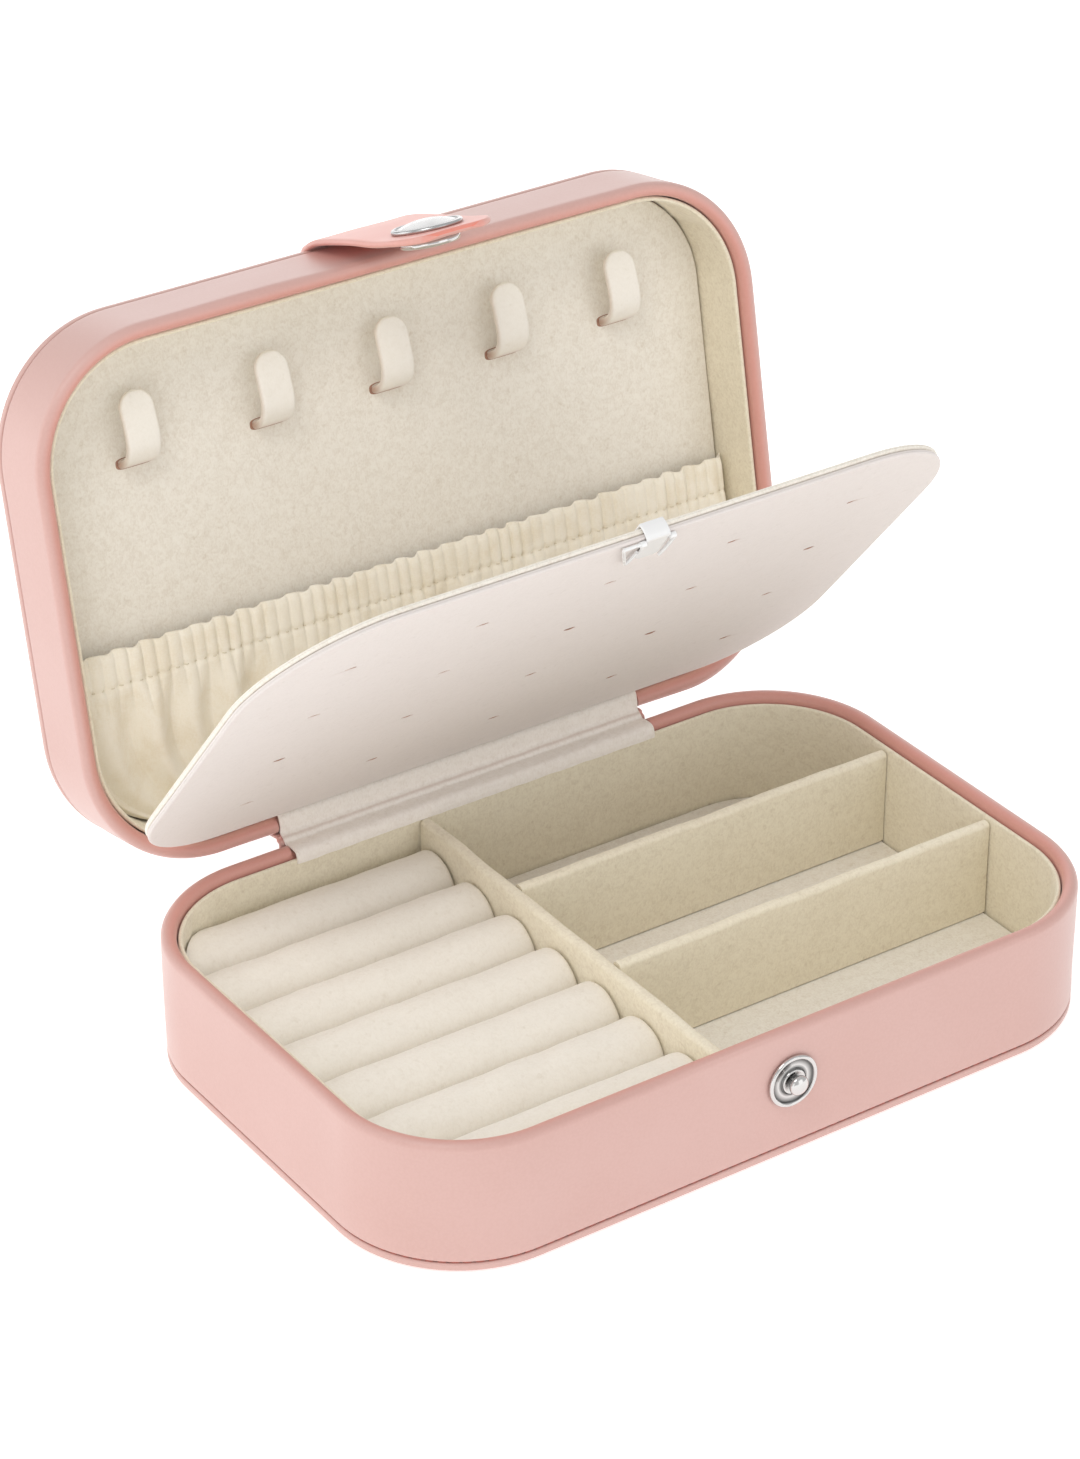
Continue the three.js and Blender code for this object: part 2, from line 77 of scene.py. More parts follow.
class Body(str, Enum):
    """The frame's moving bodies."""

    BASE = "base"
    LID = "lid"
    BOARD = "board"
    STRAP = "strap"


@dataclass(frozen=True)
class Turn:
    """A turn about a line along X through (y, z), in degrees by the right-hand rule."""

    y: float
    z: float
    degrees: float

    def apply(self, points: Array) -> Array:
        """Turns points about the line.

        Args:
            points: An array whose last axis is x, y, z.

        Returns:
            The turned points.
        """
        cosine, sine = math.cos(math.radians(self.degrees)), math.sin(math.radians(self.degrees))
        y, z = points[..., 1] - self.y, points[..., 2] - self.z
        return np.stack(
            [points[..., 0], self.y + y * cosine - z * sine, self.z + y * sine + z * cosine],
            axis=-1,
        )


@dataclass(frozen=True)
class Place:
    """Where a sub-assembly rests: an optional mirror in z, then turns in order."""

    body: Body
    turns: tuple[Turn, ...] = ()
    mirror_height: float | None = None

    def apply(self, points: Array) -> Array:
        """Carries points from the closed box to where they rest."""
        if self.mirror_height is not None:
            points = points * np.array([1.0, 1.0, -1.0]) + np.array([0.0, 0.0, self.mirror_height])
        for turn in self.turns:
            points = turn.apply(points)
        return points


@dataclass(frozen=True)
class BoxSizes:
    """Sizes that the box's parts share, and the lines that they turn about."""

    width: float = 165.0
    depth: float = 108.0
    radius: float = 26.5
    base_height: float = 27.8
    lid_height: float = 17.5
    rim_gap: float = 1.0
    wall: float = 3.0
    fit: float = 0.3
    liner: float = 0.9
    liner_drop: float = 1.8
    wall_foot: float = 2.1
    ribbon_width: float = 86.0
    ribbon_thickness: float = 0.6
    open_angle: float = 101.0
    board_angle: float = 50.5
    hinge_out: float = 0.85
    board_inset: float = 5.4
    board_lift: float = 0.3

    @property
    def half_depth(self) -> float:
        """Half the box's depth."""
        return self.depth / 2

    @property
    def closed_top(self) -> float:
        """Height of the lid's outer face when the box is closed."""
        return self.base_height + self.rim_gap + self.lid_height

    @property
    def hinge(self) -> tuple[float, float]:
        """The lid's hinge line as (y, z)."""
        return self.half_depth + self.hinge_out, self.base_height + self.rim_gap / 2

    @property
    def board_pivot(self) -> tuple[float, float]:
        """The earring board's hinge line as (y, z), with the box closed."""
        return self.half_depth - self.board_inset, self.base_height + self.board_lift

    @property
    def cavity_inset(self) -> float:
        """Inset of the liner's inner face from the outline."""
        return self.wall + self.fit + self.liner

    @property
    def opening_turn(self) -> Turn:
        """The turn that opens the lid."""
        return Turn(*self.hinge, -self.open_angle)

    def base_place(self) -> Place:
        """Place of what belongs to the base."""
        return Place(Body.BASE)

    def lid_shell_place(self) -> Place:
        """Place of the lid's shell, whose z runs from the lid's outer face to its rim."""
        return Place(Body.LID, (self.opening_turn,), self.closed_top)

    def board_place(self) -> Place:
        """Place of the earring board, in the closed box's frame."""
        lift = Turn(*self.board_pivot, self.open_angle - self.board_angle)
        return Place(Body.BOARD, (lift, self.opening_turn))

    def strap_place(self) -> Place:
        """Place of the closing strap, in the closed box's frame."""
        return Place(Body.STRAP, (self.opening_turn,))


BOX = BoxSizes()


# ------------------------------------------------------------------ shader language


class Value:
    """A shader socket that takes part in arithmetic; each operator adds a Math node."""

    def __init__(self, recipe: Recipe, socket: bpy.types.NodeSocket) -> None:
        """Wraps one output socket of a recipe's node tree."""
        self.recipe = recipe
        self.socket = socket

    def _math(self, operation: str, first: object, second: object = 0.0) -> Value:
        """Adds one Math node."""
        return self.recipe.node("ShaderNodeMath", {"operation": operation}, {0: first, 1: second})

    def __add__(self, other: Value | float) -> Value:
        """self + other."""
        return self._math("ADD", self, other)

    def __radd__(self, other: float) -> Value:
        """other + self."""
        return self._math("ADD", other, self)

    def __mul__(self, other: Value | float) -> Value:
        """self * other."""
        return self._math("MULTIPLY", self, other)

    def __rmul__(self, other: float) -> Value:
        """other * self."""
        return self._math("MULTIPLY", other, self)

    def ramp(self, low: float, high: float) -> Value:
        """Rises smoothly from 0 at low to 1 at high.

        Args:
            low: Input that gives 0.
            high: Input that gives 1.

        Returns:
            The value between 0 and 1.
        """
        settings = {"interpolation_type": "SMOOTHSTEP"}
        inputs = {"Value": self, "From Min": low, "From Max": high}
        return self.recipe.node("ShaderNodeMapRange", settings, inputs)


class Recipe:
    """One material's node tree, built by method calls and arithmetic."""

    def __init__(self, name: str) -> None:
        """Starts a material with a Principled shader."""
        self.material = bpy.data.materials.new(name)
        self.material.use_nodes = True
        self.tree = self.material.node_tree
        self.shader = self.tree.nodes["Principled BSDF"]

    def plug(self, socket: bpy.types.NodeSocket, value: object) -> None:
        """Links a Value to a socket, or sets a plain value on it."""
        if isinstance(value, Value):
            self.tree.links.new(value.socket, socket)
        else:
            socket.default_value = value

    def node(
        self,
        kind: str,
        settings: dict[str, object] | None = None,
        inputs: dict[str | int, object] | None = None,
        output: str | int = 0,
    ) -> Value:
        """Adds any node.

        Args:
            kind: The node's type.
            settings: Its own settings by name.
            inputs: Values or links by socket name or number.
            output: Which output to return.

        Returns:
            The chosen output.
        """
        node = self.tree.nodes.new(kind)
        for name, value in (settings or {}).items():
            setattr(node, name, value)
        for name, value in (inputs or {}).items():
            self.plug(node.inputs[name], value)
        return Value(self, node.outputs[output])

    def position(self, stretch: Colour = (1.0, 1.0, 1.0)) -> Value:
        """The surface point in the object's own coordinates, in metres, stretched by axis."""
        point = self.node("ShaderNodeTexCoord", output="Object")
        if stretch == (1.0, 1.0, 1.0):
            return point
        return self.node("ShaderNodeMapping", {}, {"Vector": point, "Scale": stretch})

    def noise(
        self, size: float, detail: float = 2.0, stretch: Colour = (1.0, 1.0, 1.0), bend: float = 0.0
    ) -> Value:
        """Cloudy noise from 0 to 1 whose lumps are about size millimetres wide."""
        inputs = {
            "Vector": self.position(stretch),
            "Scale": 1.0 / (size * MM),
            "Detail": detail,
            "Distortion": bend,
        }
        return self.node("ShaderNodeTexNoise", {}, inputs)

    def cells(self, size: float) -> Value:
        """Distance to the middle of rounded cells about size millimetres wide."""
        settings = {"feature": "SMOOTH_F1"}
        inputs = {"Vector": self.position(), "Scale": 1.0 / (size * MM), "Smoothness": 0.6}
        return self.node("ShaderNodeTexVoronoi", settings, inputs)

    def tint(self) -> Value:
        """The mesh's own share of the painted-shade colour, from 0 to 1."""
        return self.node("ShaderNodeAttribute", {"attribute_name": "tint"}, output="Fac")

    def blend(self, mask: Value | float, first: object, second: object) -> Value:
        """Colour that goes from first to second as mask goes from 0 to 1."""
        inputs = {0: mask, 6: rgba(first), 7: rgba(second)}
        return self.node("ShaderNodeMix", {"data_type": "RGBA"}, inputs, output=2)

    def bump(self, height: Value, depth: float, strength: float = 1.0) -> None:
        """Gives the surface a relief.

        Args:
            height: Relief from 0 to 1.
            depth: Its depth in millimetres.
            strength: Share of the effect.
        """
        inputs = {"Height": height, "Distance": depth * MM, "Strength": strength}
        normal = self.node("ShaderNodeBump", {}, inputs)
        self.plug(self.shader.inputs["Normal"], normal)

    def set(self, **values: object) -> None:
        """Sets or links the shader's sockets, named with underscores for spaces."""
        for name, value in values.items():
            self.plug(self.shader.inputs[name.replace("_", " ")], value)


def rgba(colour: object) -> object:
    """A plain colour with full alpha, or a Value as it is."""
    return colour if isinstance(colour, Value) else (*colour, 1.0)


def linear(red: int, green: int, blue: int) -> Colour:
    """Linear colour of display values from 0 to 255."""
    display = np.array([red, green, blue]) / 255.0
    low = display / 12.92
    high = ((display + 0.055) / 1.055) ** 2.4
    return tuple(float(value) for value in np.where(display <= 0.04045, low, high))


# ------------------------------------------------------------------ finishes


@dataclass(frozen=True)
class Leather:
    """Smooth artificial leather with a fine pebbled grain. Its edge colour is a redder painted
    shade, laid on where the mesh's tint asks for it.
    """

    name: str
    slot: str
    colour: Colour
    deep: Colour
    edge: Colour
    grain: float = 0.55
    grain_depth: float = 0.035

    def make(self) -> bpy.types.Material:
        """Builds the material."""
        recipe = Recipe(self.name)
        cells = recipe.cells(self.grain)
        fine = recipe.noise(0.35, 3.0)
        cloud = recipe.noise(38.0, 3.0)
        crease = recipe.noise(6.0, 4.0, bend=0.8)
        tone = (cloud.ramp(0.3, 0.7) * 0.5 + cells.ramp(0.15, 0.8) * 0.3).ramp(0.0, 1.0)
        plain = recipe.blend(tone, self.colour, self.deep)
        recipe.set(
            # Painted shade: the tint attribute blends in the redder edge colour.
            Base_Color=recipe.blend(recipe.tint(), plain, self.edge),
            Roughness=0.40 + fine * 0.10 + cloud * 0.06,
            Specular_IOR_Level=0.5,
            Coat_Weight=0.5,
            Coat_Roughness=0.42,
            Sheen_Weight=0.25,
            Sheen_Roughness=0.3,
        )
        recipe.bump(cells * 0.55 + fine * 0.25 + crease * 0.6, self.grain_depth, 0.75)
        return recipe.material


@dataclass(frozen=True)
class Velvet:
    """Short-napped velvet: brushed patches, fine fibres and a soft sheen."""

    name: str
    slot: str
    colour: Colour
    shade: Colour
    patch: float = 5.0
    nap_depth: float = 0.14
    contrast: float = 0.62
    # Colour of painted shade, laid on where the mesh's tint asks for it.
    painted_shade: Colour = linear(176, 136, 112)

    def make(self) -> bpy.types.Material:
        """Builds the material."""
        recipe = Recipe(self.name)
        fibres = recipe.noise(0.32, 3.0, (1.0, 0.55, 0.55))
        flecks = recipe.noise(1.1, 4.0, bend=1.2)
        patches = recipe.noise(self.patch, 4.0, bend=1.5)
        specks = recipe.noise(1.6, 3.0).ramp(0.6, 0.74)
        nap = fibres * 0.36 + flecks * 0.46 + patches * 0.18
        tone = (nap.ramp(0.28, 0.72) * self.contrast + specks * 0.22).ramp(0.0, 1.0)
        plain = recipe.blend(tone, self.colour, self.shade)
        recipe.set(
            # Painted shade: the tint attribute blends in the brownish shade colour.
            Base_Color=recipe.blend(recipe.tint(), plain, self.painted_shade),
            Roughness=0.86 + patches * 0.1,
            Specular_IOR_Level=0.22,
            Sheen_Weight=0.35,
            Sheen_Roughness=0.45,
            Sheen_Tint=(1.0, 0.98, 0.95, 1.0),
        )
        recipe.bump(fibres * 0.35 + flecks * 0.45 + patches * 0.5, self.nap_depth, 0.8)
        return recipe.material


@dataclass(frozen=True)
class Cloth:
    """Thin plain-woven cloth."""

    name: str
    slot: str
    colour: Colour
    shade: Colour
    thread: float = 0.28

    def make(self) -> bpy.types.Material:
        """Builds the material."""
        recipe = Recipe(self.name)
        warp = recipe.noise(self.thread, 2.0, (1.0, 0.25, 0.25))
        weft = recipe.noise(self.thread, 2.0, (0.25, 1.0, 1.0))
        cloud = recipe.noise(7.0, 3.0, bend=0.6)
        weave = warp * 0.5 + weft * 0.5
        tone = (weave.ramp(0.3, 0.7) * 0.35 + cloud.ramp(0.35, 0.7) * 0.45).ramp(0.0, 1.0)
        recipe.set(
            Base_Color=recipe.blend(tone, self.colour, self.shade),
            Roughness=0.82,
            Specular_IOR_Level=0.25,
            Sheen_Weight=0.2,
            Sheen_Roughness=0.5,
        )
        recipe.bump(weave, 0.06, 0.7)
        return recipe.material


@dataclass(frozen=True)
class Metal:
    """Polished plated steel with faint handling marks, and painted shade in its grooves where the
    mesh's tint asks for it.
    """

    name: str
    slot: str
    colour: Colour
    roughness: float = 0.14

    def shade(self, share: float) -> Colour:
        """The metal's colour, darkened to a share of itself."""
        return tuple(share * part for part in self.colour)

    def make(self) -> bpy.types.Material:
        """Builds the material."""
        recipe = Recipe(self.name)
        smudge = recipe.noise(2.5, 3.0)
        scratch = recipe.noise(0.25, 2.0, (1.0, 0.12, 1.0))
        plain = recipe.blend(smudge * 0.35, self.colour, self.shade(0.86))
        recipe.set(
            # Painted shade: the tint attribute darkens the grooves to 0.16 of the metal's colour.
            Base_Color=recipe.blend(recipe.tint(), plain, self.shade(0.16)),
            Metallic=1.0,
            Roughness=self.roughness + smudge.ramp(0.35, 0.75) * 0.1,
        )
        recipe.bump(scratch, 0.004, 0.5)
        return recipe.material


@dataclass(frozen=True)
class Plastic:
    """Moulded or lacquered hard surface."""

    name: str
    slot: str
    colour: Colour
    roughness: float = 0.3
    speckle: float = 0.03

    def make(self) -> bpy.types.Material:
        """Builds the material."""
        recipe = Recipe(self.name)
        cloud = recipe.noise(1.6, 3.0)
        darker = tuple((1 - self.speckle) * c for c in self.colour)
        recipe.set(
            Base_Color=recipe.blend(cloud, self.colour, darker),
            Roughness=self.roughness + cloud * 0.08,
            Coat_Weight=0.15,
        )
        recipe.bump(cloud, 0.01, 0.4)
        return recipe.material


class Finish(Enum):
    """Every finish of the box."""

    LEATHER = Leather(
        "wall_leather",
        "pink_leather",
        linear(208, 169, 161),
        linear(203, 162, 153),
        # The third colour is the redder colour of painted shade.
        linear(240, 128, 106),
    )
    STRAP_LEATHER = Leather(
        "strap_leather",
        "pink_leather",
        linear(218, 178, 170),
        linear(212, 168, 159),
        # The third colour is the redder colour of painted shade.
        linear(240, 128, 106),
        0.6,
        0.04,
    )
    VELVET = Velvet("lining_velvet", "cream_velvet", linear(245, 240, 230), linear(222, 212, 197))
    # A warmer copy of the cream velvet for the upright walls and dividers: painted warm shade.
    WALL_VELVET = Velvet(
        "wall_velvet_warm_shade", "cream_velvet", linear(243, 235, 213), linear(219, 207, 183)
    )
    ROLL_VELVET = Velvet(
        "roll_velvet", "cream_velvet", linear(243, 237, 226), linear(226, 217, 202), 4.0, 0.09, 0.45
    )
    BOARD_VELVET = Velvet(
        "board_velvet", "pale_velvet", linear(227, 219, 215), linear(212, 203, 197), 9.0, 0.06, 0.4
    )
    # A paler copy of the cream velvet: painted light that makes up for the shade the ribbon lies
    # in.
    RIBBON_VELVET = Velvet(
        "ribbon_velvet_lit",
        "cream_velvet",
        linear(254, 248, 241),
        linear(236, 227, 217),
        2.5,
        0.14,
        0.6,
    )
    HOOK_VELVET = Velvet(
        "hook_velvet", "cream_velvet", linear(246, 241, 232), linear(232, 225, 212), 5.0, 0.05, 0.4
    )
    POCKET_CLOTH = Cloth(
        "pocket_cloth", "cream_velvet", linear(250, 244, 230), linear(240, 230, 209)
    )
    CHROME = Metal("chrome_plate", "chrome", (0.66, 0.65, 0.64), 0.12)
    # A darker, rougher copy of the chrome for the cap: painted shade that holds back the back
    # light's reflection.
    CHROME_CAP = Metal("cap_plate_shaded", "chrome", (0.54, 0.54, 0.54), 0.22)
    WHITE = Plastic("clip_lacquer", "white_clip", (0.86, 0.86, 0.86), 0.22, 0.02)
    THREAD = Plastic("seam_thread", "pink_leather", linear(186, 104, 92), 0.7, 0.2)
    # Painted shadow: the dark colour of the slits' insides.
    SLIT = Plastic("slit_shadow", "cream_velvet", linear(180, 138, 118), 0.9, 0.25)
    CREAM_THREAD = Plastic("cream_thread", "cream_velvet", linear(232, 222, 201), 0.8, 0.1)

    def material(self) -> bpy.types.Material:
        """The finish's material, made once."""
        return bpy.data.materials.get(self.value.name) or self.value.make()


# ------------------------------------------------------------------ surfaces


def ripple(points: Array, size: float, seed: int, waves: int = 7) -> Array:
    """Smooth unevenness from about -1 to 1: a sum of sine waves in fixed random directions.

    Args:
        points: An array whose last axis is x, y, z, in millimetres.
        size: Typical distance between two crests.
        seed: Seed of the directions.
        waves: Number of waves.

    Returns:
        One value for each point.
    """
    draw = np.random.default_rng(seed)
    directions = draw.normal(size=(waves, 3))
    directions /= np.linalg.norm(directions, axis=1, keepdims=True)
    lengths = size * draw.uniform(0.7, 1.5, waves)
    phases = draw.uniform(0, 2 * np.pi, waves)
    angles = points @ (directions / lengths[:, None] * 2 * np.pi).T + phases
    return np.sin(angles).sum(axis=-1) / math.sqrt(waves)


def smooth_step(values: Array | float, low: float, high: float) -> Array:
    """Rises from 0 at low to 1 at high along 3 t^2 - 2 t^3."""
    share = np.clip((np.asarray(values, float) - low) / (high - low), 0, 1)
    return share * share * (3 - 2 * share)


def run_along(path: Array) -> Array:
    """Length run along a path up to each of its points."""
    return np.concatenate([[0], np.cumsum(np.linalg.norm(np.diff(path, axis=0), axis=1))])


def quarter_round(share: Array) -> Array:
    """Height of a quarter circle of radius 1 that rises from 0 at share 0 to 1 at share 1."""
    return np.sqrt(np.maximum(1 - (1 - np.clip(share, 0, 1)) ** 2, 0.0))


def arc(centre: Sequence[float], radius: float, start: float, end: float, steps: int) -> Array:
    """Points on a circle from one angle to another, in degrees, in a plane's two coordinates."""
    angles = np.radians(np.linspace(start, end, steps))
    return np.asarray(centre) + radius * np.stack([np.cos(angles), np.sin(angles)], axis=-1)


def smooth_path(points: Sequence[Sequence[float]], count: int) -> Array:
    """A curve through points, evenly spaced by length.

    Each span is the cubic whose slopes at its two ends are half the chord between the
    neighbours on either side.

    Args:
        points: The points that the curve passes through.
        count: Number of points on the curve.

    Returns:
        An array of count points.
    """
    given = np.asarray(points, float)
    padded = np.vstack([2 * given[0] - given[1], given, 2 * given[-1] - given[-2]])
    share = np.linspace(0, 1, 24, endpoint=False)[None, :, None]
    before, start, end, after = (padded[i : i + len(given) - 1, None] for i in range(4))
    slope_in, slope_out = (end - before) / 2, (after - start) / 2
    spans = (
        (2 * share**3 - 3 * share**2 + 1) * start
        + (share**3 - 2 * share**2 + share) * slope_in
        + (3 * share**2 - 2 * share**3) * end
        + (share**3 - share**2) * slope_out
    )
    dense = np.vstack([spans.reshape(-1, given.shape[1]), given[-1]])
    run = run_along(dense)
    even = np.linspace(0, run[-1], count)
    return np.stack([np.interp(even, run, dense[:, i]) for i in range(dense.shape[1])], axis=-1)


@dataclass(frozen=True)
class Outline:
    """A rectangle with rounded corners in plan, traced anticlockwise from its front left."""

    width: float = BOX.width
    depth: float = BOX.depth
    radius: float = BOX.radius
    corner_steps: int = 26
    spacing: float = 3.0
    marks: tuple[float, ...] = ()

    def trace(self) -> tuple[Array, Array]:
        """Points on the outline and its outward directions.

        Returns:
            Two arrays of x, y pairs.
        """
        x, y, r = self.width / 2, self.depth / 2, self.radius
        centres = [(x - r, r - y), (x - r, y - r), (r - x, y - r), (r - x, r - y)]
        points, outward = [], []
        for index, centre in enumerate(centres):
            start = -90 + 90 * index
            curve = arc(centre, r, start, start + 90, self.corner_steps + 1)
            points.append(curve)
            outward.append((curve - np.array(centre)) / r)
            following = np.array(centres[(index + 1) % 4])
            span = following - np.array(centre)
            length = float(np.linalg.norm(span))
            shares = np.linspace(0, 1, int(length / self.spacing) + 2)[1:-1]
            if index == 1:
                marked = [(length / 2 - mark) / length for mark in self.marks]
                shares = np.unique(np.concatenate([shares, marked]))
            direction = outward[-1][-1]
            points.append(curve[-1] + shares[:, None] * span)
            outward.append(np.broadcast_to(direction, (len(shares), 2)))
        return np.vstack(points), np.vstack(outward)


class Surface:
    """Vertices and faces gathered from grids, in millimetres."""

    def __init__(self) -> None:
        """Starts empty."""
        self.points: list[Array] = []
        self.faces: list[list[int]] = []
        self.tints: list[Array] = []
        self.count = 0

    def grid(
        self,
        points: Array,
        wrap_u: bool = False,
        wrap_v: bool = False,
        caps: str = "",
        flip: bool = False,
        tint: Array | float = 0.0,
    ) -> Surface:
        """Adds a sheet of four-sided faces whose front is u cross v.

        Args:
            points: An array of shape (u, v, 3).
            wrap_u: Joins the last row of u to the first.
            wrap_v: Joins the last row of v to the first.
            caps: "u" or "v" closes both ends of that direction with one face each.
            flip: Turns the faces round.
            tint: Share of the finish's painted-shade colour at each point, from 0 to 1.

        Returns:
            The surface itself.
        """
        rows, columns = points.shape[:2]
        index = np.arange(rows * columns).reshape(rows, columns) + self.count
        if wrap_u:
            index = np.vstack([index, index[:1]])
        if wrap_v:
            index = np.hstack([index, index[:, :1]])
        quads = np.stack([index[:-1, :-1], index[1:, :-1], index[1:, 1:], index[:-1, 1:]], axis=-1)
        faces = quads.reshape(-1, 4).tolist()
        if caps == "v":
            rim = slice(0, rows)
            faces.append(index[rim, 0][::-1].tolist())
            faces.append(index[rim, columns - 1].tolist())
        if caps == "u":
            rim = slice(0, columns)
            faces.append(index[0, rim].tolist())
            faces.append(index[rows - 1, rim][::-1].tolist())
        if flip:
            faces = [face[::-1] for face in faces]
        self.faces.extend(faces)
        self.points.append(points.reshape(-1, 3))
        self.tints.append(np.broadcast_to(tint, (rows, columns)).reshape(-1))
        self.count += rows * columns
        return self

    def threads(self, paths: Array, radius: float) -> Surface:
        """Adds one thin six-sided thread along each path."""
        for path in paths:
            self.grid(tube(path, radius, 6), wrap_v=True, caps="u")
        return self


@dataclass
class Piece:
    """A finished mesh and all that the frame has to know about it."""

    name: str
    surface: Surface
    place: Place
    finish: Finish
    replaces: tuple[str, ...] = ()
    sharp: float = 55.0

    def make(self, ride: bool = True) -> bpy.types.Object:
        """Makes the object at the origin, in metres, and ties it to the frame.

        Args:
            ride: False leaves the piece tied to no body.

        Returns:
            The object.
        """
        points = self.place.apply(np.vstack(self.surface.points)) * MM
        faces = self.surface.faces
        if self.place.mirror_height is not None:
            faces = [face[::-1] for face in faces]
        points, faces, first = weld(points, faces)
        mesh = bpy.data.meshes.new(self.name)
        mesh.from_pydata(points.tolist(), [], faces)
        tint = mesh.attributes.new("tint", "FLOAT", "POINT")
        tint.data.foreach_set("value", np.concatenate(self.surface.tints)[first].astype(np.float32))
        mesh.validate()
        mesh.shade_smooth()
        mesh.set_sharp_from_angle(angle=math.radians(self.sharp))
        mesh.materials.append(self.finish.material())
        piece = bpy.data.objects.new(self.name, mesh)
        bpy.context.scene.collection.objects.link(piece)
        if ride:
            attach(piece, self.place.body.value)
        if self.replaces:
            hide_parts(*self.replaces)
        LOG.info("%s: %d vertices, %d faces", self.name, len(mesh.vertices), len(mesh.polygons))
        return piece


def weld(points: Array, faces: list[list[int]]) -> tuple[Array, list[list[int]], Array]:
    """Merges points that coincide to a tenth of a micron and drops faces that vanish.

    Args:
        points: Vertex positions in metres.
        faces: Faces as lists of vertex numbers.

    Returns:
        The merged positions, the faces that are left, and each position's old number.
    """
    keys = np.round(points / 1e-7).astype(np.int64)
    _, first, number = np.unique(keys, axis=0, return_index=True, return_inverse=True)
    number = number.reshape(-1)
    kept = []
    for face in faces:
        merged = [int(number[vertex]) for vertex in face]
        loop = [v for i, v in enumerate(merged) if v != merged[i - 1]]
        if len(set(loop)) > 2:
            kept.append(loop)
    return points[first], kept, first


def ring(outline: Outline, profile: Array) -> Array:
    """A profile carried round an outline: each point lies its inset inside the outline.

    Args:
        outline: The plan outline.
        profile: Pairs of inset and height.

    Returns:
        An array of shape (outline, profile, 3).
    """
    base, outward = outline.trace()
    plan = base[:, None, :] - outward[:, None, :] * profile[None, :, :1]
    height = np.broadcast_to(profile[None, :, 1:], (len(base), len(profile), 1))
    return np.concatenate([plan, height], axis=-1)


def lathe(profile: Array, steps: int = 96) -> Array:
    """Pairs of radius and height spun about Z."""
    angles = np.linspace(0, 2 * np.pi, steps, endpoint=False)
    radius = profile[None, :, 0]
    return np.stack(
        [
            np.cos(angles)[:, None] * radius,
            np.sin(angles)[:, None] * radius,
            np.broadcast_to(profile[None, :, 1], (steps, len(profile))),
        ],
        axis=-1,
    )


def tube(path: Array, radius: float, steps: int = 14) -> Array:
    """A round wire along a path: each ring lies square to the path.

    Args:
        path: Points of the wire's middle line.
        radius: The wire's radius.
        steps: Points round the wire.

    Returns:
        An array of shape (path, steps, 3).
    """
    tangent = np.gradient(path, axis=0)
    tangent /= np.linalg.norm(tangent, axis=1, keepdims=True)
    side = np.cross(tangent, [0.0, 0.0, 1.0])
    side /= np.linalg.norm(side, axis=1, keepdims=True)
    over = np.cross(side, tangent)
    angles = np.linspace(0, 2 * np.pi, steps, endpoint=False)
    return (
        path[:, None]
        + radius * np.cos(angles)[None, :, None] * side[:, None]
        + radius * np.sin(angles)[None, :, None] * over[:, None]
    )


def band(
    path: Array, half_width: Array, thickness: Array, middle: float = 0.0, across: int = 14
) -> Array:
    """A flat strip with round edges, whose middle line lies in a YZ plane.

    The section is a stadium: two straight sides joined by half circles.

    Args:
        path: Pairs of y and z along the middle line.
        half_width: Half the strip's width at each point of the path.
        thickness: The strip's thickness at each point.
        middle: The strip's x.
        across: Points along each straight side.

    Returns:
        An array of shape (path, section, 3).
    """
    tangent = np.gradient(path, axis=0)
    tangent /= np.linalg.norm(tangent, axis=1, keepdims=True)
    normal = np.stack([-tangent[:, 1], tangent[:, 0]], axis=-1)
    flat = np.linspace(-1, 1, across)
    bend = np.radians(np.linspace(90, -90, 8)[1:-1])
    reach = np.maximum(half_width - thickness / 2, 0.0)[:, None]
    half = (thickness / 2)[:, None]
    x = np.hstack(
        [
            reach * flat,
            reach + half * np.cos(bend),
            reach * flat[::-1],
            -reach - half * np.cos(bend),
        ]
    )
    rise = np.hstack(
        [
            half * np.ones_like(flat),
            half * np.sin(bend),
            -half * np.ones_like(flat),
            -half * np.sin(bend),
        ]
    )
    return np.stack(
        [
            middle + x,
            path[:, None, 0] + rise * normal[:, None, 0],
            path[:, None, 1] + rise * normal[:, None, 1],
        ],
        axis=-1,
    )


# ------------------------------------------------------------------ shells


